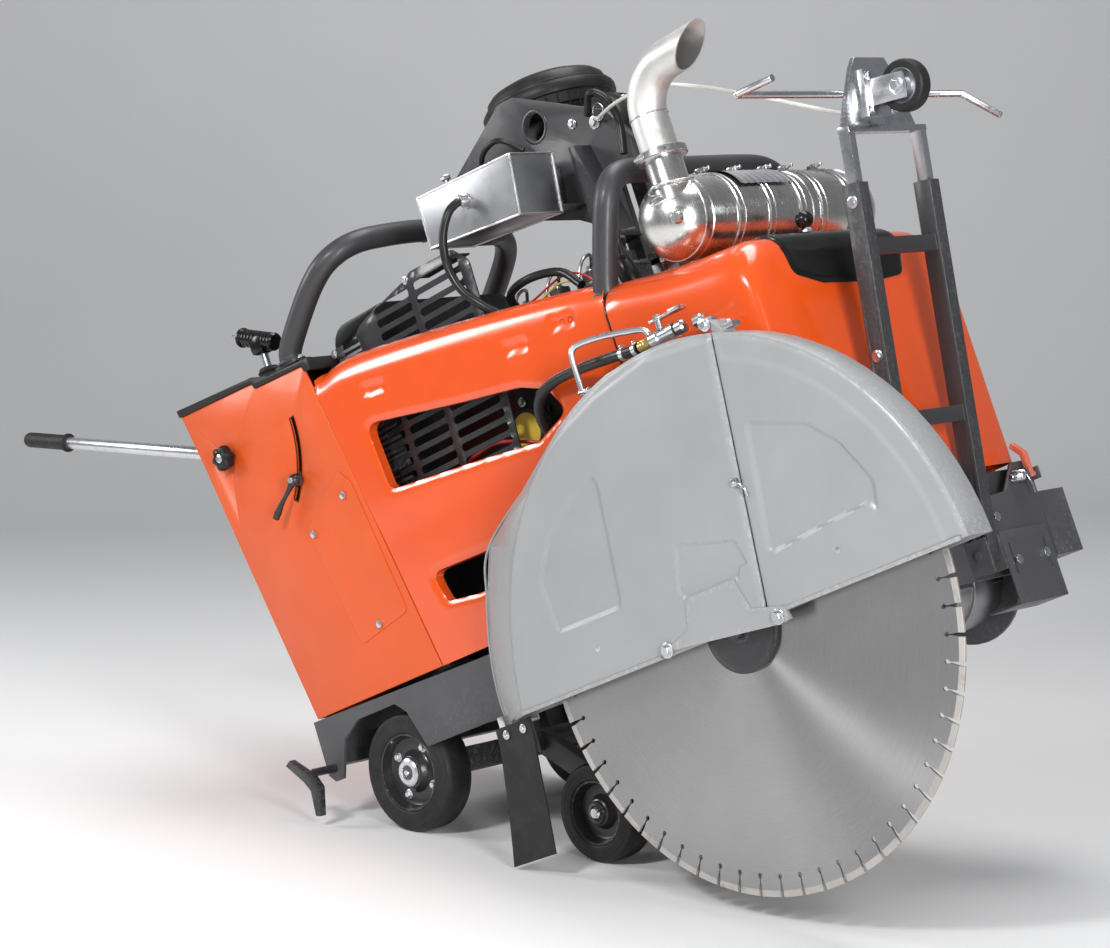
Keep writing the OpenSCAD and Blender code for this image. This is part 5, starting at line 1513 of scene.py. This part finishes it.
def make_hinge_hardware():
    x, z = HINGE_TOP
    parts = []
    # valve body, lever, brass fitting, hose barb and clamp at the guard top
    parts = [(*lathe([(0, 0), (12, 0), (15, 3), (15, 22), (12, 25), (12, 48), (15, 51), (15, 66), (0, 66)],
                     (-4, -386, 562), (1, 0, 0), 32), "zinc"),
             (*hexagon((-4, -386, 562), (-1, 0, 0), 13, 14, 0), "brass"),
             (*lathe([(9, 14), (11, 17), (9, 21), (11, 24), (9, 28), (11, 31), (9, 34)], (-4, -386, 562), (-1, 0, 0), 28), "brass"),
             (*rod((25, -386, 574), (25, -386, 594), 7, 24), "zinc"),
             (*hexagon((25, -386, 596), (0, 0, 1), 8, 5, 1.4), "zinc"),
             (*block((8, -395, 592), (78, -377, 597), 1.8), "zinc"),
             (*block((62, -398, 592), (92, -374, 600), 3), "zinc"),
             (*lathe([(13, 0), (13, 16), (9, 20), (0, 20)], (66, -386, 562), (1, 0, 0), 28), "zinc")]
    piece("water_valve_built", parts, "chassis", "zinc", ["water_valve"], sharp=34)
    parts = [(*rod((x, -426, z), (x, -358, z), 5.2, 20), "zinc"),
             (*hexagon((x, -422, z), (0, -1, 0), 8, 6, 1.5), "zinc"),
             (*block((112, -386, 540), (150, -366, 556), 3), "zinc"),
             (*lathe([(9, 0), (12, 3), (12, 18), (9, 21), (9, 30), (0, 30)], (100, -376, 560), (1, 0.1, 0), 28), "zinc"),
             (*block((176, -412, 514), (214, -388, 524), 2), "zinc"),
             (*hexagon((196, -400, 523), (0, 0, 1), 7, 5, 1.5), "zinc")]
    piece("guard_hinge_hardware", parts, "chassis", "zinc", sharp=32)
    bail = smooth_route(cut_corners([(-192, -406, 524), (-192, -406, 560), (-192, -406, 600), (-189, -404, 614),
                                     (-176, -398, 620), (-130, -386, 617), (-80, -376, 607), (-38, -368, 597),
                                     (-25, -366, 588), (-23, -366, 570), (-23, -366, 543)], 1), 6)
    parts = [sweep(bail, 6.2, 24)]
    for q in ((-192, -406, 530), (-23, -366, 548)):
        parts.append((*lathe([(11, -2), (11, 0), (8, 4), (6.2, 5)], q, (0, 0, 1), 24), "weld"))
        parts.append((*hexagon((q[0] + 14, q[1], q[2] - 2), (0, -0.4, 1), 6, 4, 1.4), "zinc"))
    piece("guard_bail_built", parts, "chassis", "zinc", ["guard_bail"], sharp=50)


make_hinge_hardware()


def make_front_fittings():
    """Latch spring and hinge pin on the front plate."""
    x, y, z = 238, 289, 150
    turns, n = 6, 16
    coil = [(x + 10 * math.cos(2 * math.pi * k / n), y - 26 - 30 * k / (turns * n),
             z + 10 * math.sin(2 * math.pi * k / n)) for k in range(turns * n + 1)]
    tail = [(x + 10, y - 26, z), (x + 16, y - 26, z - 22), (x + 14, y - 24, z - 40)]
    parts = [sweep(coil, 1.7, 8), sweep(smooth_route(tail, 5), 1.7, 8), rod((x, y - 64, z), (x, y - 20, z), 4.5, 20)]
    piece("latch_spring", parts, "chassis", "zinc", sharp=32)


make_front_fittings()


def make_shift_lever():
    """Ball knob on a plated rod, with its lock nut and rubber boot."""
    x, y, z = SHIFT_PIVOT
    parts = [(*lathe([(0, 55.2)] + [(18 * math.sin(a), 73 - 18 * math.cos(a))
                                    for a in [math.pi * k / 24 for k in range(3, 24)]] + [(0, 91)],
                     (x, y, z), (0, 0, 1), 48), "gloss_black"),
             rod((x, y, z + 6), (x, y, z + 60), 6, 28), hexagon((x, y, z + 44), (0, 0, 1), 10, 10, 0),
             (*lathe([(13, 0), (12, 6), (9, 9), (9.5, 12), (7.5, 15), (6.2, 16)], (x, y, z), (0, 0, 1), 36), "rubber")]
    piece("shift_lever_built", parts, "shift_lever", "zinc", ["shift_lever"], sharp=40)


make_shift_lever()


def make_lift_plate_details():
    parts = []
    # rim of the lifting eye, weld beads, stiffener, bolt and looped hose
    parts.append((*lathe([(30, -8.4), (33, -8.8), (36, -8.6), (37, -8)], (-463, 0, 1187), (0, 1, 0), 48), "black_paint"))
    parts.append((*hexagon((-300, -8, 1128), (0, -1, 0), 9, 7, 1.6), "zinc"))
    parts.append((*hexagon((-360, -8, 1150), (0, -1, 0), 7, 5, 1.6), "zinc"))
    parts.append((*hexagon((-780, -8, 1095), (0, -1, 0), 8, 6, 1.6), "zinc"))
    n = 40
    line = [(-820 + (-544 + 820) * k / n, -8, 1130 + (1270 - 1130) * k / n) for k in range(n + 1)]
    parts.append((*sweep([(x, -4, z) for x, _, z in line], 2.4, 8), "hoop"))
    parts.append(wire([(-300, -22, 1144), (-262, -40, 1176), (-232, -30, 1150), (-226, -20, 1096), (-232, -30, 1030)], 8, "hose", 14))
    parts.append(wire([(-640, -14, 1140), (-600, -40, 1180), (-540, -44, 1190), (-500, -20, 1150)], 6, "hose", 14))
    # shackles that the rope is tied to
    ring = [(-276 + 15 * math.cos(a), -16, 1140 + 17 * math.sin(a)) for a in [2 * math.pi * k / 40 for k in range(41)]]
    parts.append((*sweep(ring, 2.6, 10, False), "zinc"))
    piece("lift_plate_details", parts, "chassis", "hoop", sharp=36)


make_lift_plate_details()


def make_ladder_details():
    parts = []
    for s in (-1, 1):
        for z in (120, 400, 690):
            parts.append((*hexagon(on_ladder(0, s * 125 + s * 0.2, z), (0, s, 0), 8, 5, 1.5), "zinc"))
        for z in (40, 330, 540, 715):
            q = [on_ladder(20.4, s * 110 + dy, z) for dy in (-13, 13)]
    for z in (260, 290, 590, 620):
        for s in (-1, 1):
            line = [on_ladder(-12 + 24 * k / 12, s * 96, z) for k in range(13)]
            parts.append((*sweep(line, [2.0 + 0.7 * (k % 2) for k in range(13)], 8), "hoop"))
    for s in (-1, 1):
        parts.append((*lathe([(0, 20), (9, 20), (13, 17), (13, 15)], on_ladder(0, s * 110, 0), (0, s, 0), 28), "zinc"))
    piece("ladder_hardware", parts, "pointer_ladder", "hoop", sharp=34)
    parts = []
    for y in (-34, 34):
        for z in (862, 928):
            parts.append(hexagon(on_ladder(10, y, z), Vector(on_ladder(1, 0, 0)) - Vector(on_ladder(0, 0, 0)), 6, 4, 1.5))
    for s in (-1, 1):
        parts.append(hexagon(on_ladder(70, s * 28, 895), (0, s, 0), 11, 8, 1.5))
        parts.append((*rod(on_ladder(-30, s * 40, 898), on_ladder(-40, s * 40, 898), 5, 16), "zinc"))
    ring = [on_ladder(-14 - 4, 14 * math.cos(a), 848 + 14 * math.sin(a)) for a in [2 * math.pi * k / 40 for k in range(41)]]
    parts.append(sweep(ring, 2.4, 10, False))
    piece("pointer_head_hardware", parts, "pointer_head", "zinc", sharp=32)


make_ladder_details()


FLAP_LEFT = [(-704, -6.5), (-706, -40), (-714, -80), (-726, -130), (-740, -186), (-754, -236), (-766, -276)]
FLAP_RIGHT = [(-600, -6.5), (-605, -40), (-611, -80), (-619, -130), (-627, -186), (-635, -236), (-642, -278)]


def make_flap():
    """Rubber splash flap in line with the blade, curved and bolted behind the guard."""
    left = smooth_route([(x, 0, z) for x, z in FLAP_LEFT], 4)
    right = smooth_route([(x, 0, z) for x, z in FLAP_RIGHT], 4)
    points, faces, cols = [], [], 15
    for side in (-1, 1):
        for i, (a, b) in enumerate(zip(left, right)):
            for k in range(cols):
                f = k / (cols - 1)
                q = a.lerp(b, f)
                hollow = 3.5 * math.sin(math.pi * f) * math.exp(-((i / len(left)) - 0.25) ** 2 / 0.05)
                edge = 1.2 if k in (0, cols - 1) or i == len(left) - 1 else 0.0
                points.append((q.x, -390 + side * (3 - edge) + hollow, q.z))
    m = len(left) * cols
    for side in (0, 1):
        for i in range(len(left) - 1):
            for k in range(cols - 1):
                a = side * m + i * cols + k
                f = (a, a + 1, a + cols + 1, a + cols)
                faces.append(f if side else f[::-1])
    border = ([k for k in range(cols)] + [i * cols + cols - 1 for i in range(1, len(left))]
              + [(len(left) - 1) * cols + k for k in range(cols - 2, -1, -1)]
              + [i * cols for i in range(len(left) - 2, 0, -1)])
    for k in range(len(border)):
        a, b = border[k], border[(k + 1) % len(border)]
        faces.append((a, b, b + m, a + m))
    parts = [(points, faces)]
    for x in (-676, -626):
        parts.append((*hexagon((x, -393, -24), (0, -1, 0), 6, 4, 1.5), "zinc"))
    parts.append((*block((-712, -372, -8), (-694, -352, 18), 3), "zinc"))
    piece("splash_flap_built", parts, "chassis", "rubber", ["splash_flap"], sharp=50)


make_flap()

# ---------------------------------------------------------------------------
# Frame nodes that are shown: material, and edges rounded where they are sharp

FINISHES = {
    "main_frame": ("frame", 1.6), "front_plate": ("frame", 1.2), "console_shell": ("console", 4.0),
    "console_tray": ("plastic", 2.0), "access_panel": ("console", 1.0), "cowl_right": ("cowl", 3.0),
    "cowl_left": ("cowl", 3.0), "front_hood": ("cowl", 4.0), "hood_inset": ("black_paint", 2.0),
    "radiator_grille": ("black_paint", 0.8), "radiator": ("gloss_black", 3.0),
    "engine_block": ("casting", 2.0), "air_cleaner": ("plastic", 1.5), "precleaner": ("plastic", 1.0),
    "lift_plate": ("hoop", 1.2), "rear_hoop": ("hoop", 0), "front_hoop": ("hoop", 0),
    "coolant_tank": ("aluminium", 1.5), "coolant_hose": ("hose", 0), "muffler": ("stainless", 0),
    "exhaust_clamps": ("zinc", 0.6), "exhaust_elbow": ("stainless", 0),
    "spindle_housing": ("spindle", 1.0), "guard_rear": ("guard", 2.0), "guard_bail": ("zinc", 0),
    "water_valve": ("zinc", 0.6), "water_hose": ("hose", 0), "splash_flap": ("rubber", 1.0),
    "drive_belts": ("rubber", 0.8), "battery_box": ("plastic", 2.0), "panel_bolts": ("zinc", 0.5),
    "handle_yoke": ("steel", 0.8), "right_handle": ("zinc", 0.6), "right_grip": ("rubber", 1.0),
    "left_handle": ("zinc", 0.6), "left_grip": ("rubber", 1.0), "pivot_knob": ("plastic", 1.2),
    "ratchet_lever": ("black_paint", 0.8), "speed_lever": ("gloss_black", 0.5),
    "lift_switch": ("zinc", 0.5), "guard_front": ("guard", 2.0), "blade": ("steel", 0.3),
    "blade_flanges": ("black_paint", 1.0), "blade_shaft": ("zinc", 0.6), "drive_pulley": ("steel", 0.8),
    "rear_wheel_right": ("tyre", 1.5), "rear_wheel_left": ("tyre", 1.5),
    "front_wheel_right": ("tyre", 1.5), "front_wheel_left": ("tyre", 1.5),
    "lift_frame": ("frame", 1.2), "lift_barrel": ("black_paint", 0.8), "lift_rod": ("zinc", 0.5),
    "pointer_ladder": ("hoop", 1.2), "pointer_head": ("zinc", 0.8), "caster_wheel": ("tyre", 1.0),
    "pointer_rod": ("zinc", 0.4), "hood_latch": ("latch", 0.5), "shift_lever": ("zinc", 0.4),
    "rear_pointer": ("black_paint", 0.8), "pointer_rope": ("rope", 0),
}


def dress():
    for name, obj in frame["nodes"].items():
        material, bevel = FINISHES[name]
        obj.data.materials.clear()
        obj.data.materials.append(M[material])
        if obj.hide_render:
            continue
        weld = obj.modifiers.new("weld", "WELD")
        weld.merge_threshold = 0.00001
        if bevel:
            round_off = obj.modifiers.new("bevel", "BEVEL")
            round_off.width = bevel * MM
            round_off.segments = 2
            round_off.limit_method = "ANGLE"
            round_off.angle_limit = math.radians(32)
            round_off.use_clamp_overlap = True
            round_off.harden_normals = True
        else:
            obj.data.shade_smooth()
            obj.data.set_sharp_from_angle(angle=math.radians(40))
        if bevel:
            obj.data.shade_smooth()


dress()

# ---------------------------------------------------------------------------
# Floor, backdrop and soft studio light


def make_stage():
    floor = bpy.data.meshes.new("floor")
    bm = bmesh.new()
    profile = [(9.0, 0.0), (-5.0, 0.0)]
    profile += [(-5.0 - 2.2 * math.sin(a), 2.2 - 2.2 * math.cos(a))
                for a in [math.radians(6 * k) for k in range(1, 16)]] + [(-7.2, 9.0)]
    rows = []
    away = toward(*LOOK)
    away.z = 0
    away.normalize()
    side = Vector((-away.y, away.x, 0))
    for d, z in profile:
        rows.append([bm.verts.new(-away * d + side * s + Vector((0, 0, z))) for s in (-14, 14)])
    for a, b in zip(rows, rows[1:]):
        bm.faces.new((a[0], a[1], b[1], b[0]))
    bm.normal_update()
    if bm.faces[:][0].normal.z < 0:
        bmesh.ops.reverse_faces(bm, faces=bm.faces[:])
    bm.to_mesh(floor)
    bm.free()
    floor.shade_smooth()
    n = Nodes("studio_floor")
    n.set(Metallic=0.0, Specular_IOR_Level=0.35)
    n.colour(n.mix(n.noise(1.5, 3), (0.76, 0.76, 0.765), (0.79, 0.79, 0.79)))
    n.roughness(n.ramp(n.noise(60, 4), 0.3, 0.7, 0.5, 0.6))
    # the backdrop can be seen through from outside the studio
    clear = n.tree.nodes.new("ShaderNodeBsdfTransparent")
    side_of = n.tree.nodes.new("ShaderNodeNewGeometry").outputs["Backfacing"]
    blend = n.tree.nodes.new("ShaderNodeMixShader")
    for a, b in zip((side_of, n.shader.outputs[0], clear.outputs[0]), blend.inputs):
        n.link(a, b)
    n.link(blend.outputs[0], n.tree.nodes["Material Output"].inputs["Surface"])
    floor.materials.append(n.mat)
    obj = bpy.data.objects.new("floor", floor)
    bpy.context.scene.collection.objects.link(obj)

    bpy.context.scene.view_settings.view_transform = "Standard"
    world = bpy.data.worlds.new("studio")
    bpy.context.scene.world = world
    world.use_nodes = True
    back = world.node_tree.nodes["Background"]
    back.inputs[0].default_value = (0.92, 0.95, 1.0, 1)
    back.inputs[1].default_value = 0.22

    def light(name, place, size, power, colour=(1, 1, 1), aim=(0, 0, 0.7)):
        data = bpy.data.lights.new(name, "AREA")
        data.shape = "RECTANGLE"
        data.size, data.size_y = size
        data.energy = power
        data.color = colour
        lamp = bpy.data.objects.new(name, data)
        lamp.location = place
        lamp.rotation_mode = "QUATERNION"
        lamp.rotation_quaternion = (Vector(aim) - Vector(place)).to_track_quat("-Z", "Y")
        bpy.context.scene.collection.objects.link(lamp)

    light("key", (0.7, -4.9, 4.0), (1.0, 0.8), 190)
    light("overhead", (0.2, 0.6, 4.4), (3.2, 1.4), 105)
    light("nose_fill", (4.8, -2.6, 1.8), (0.9, 2.6), 190)
    light("tail_fill", (-3.6, -2.4, 2.3), (1.2, 1.6), 75)


make_stage()
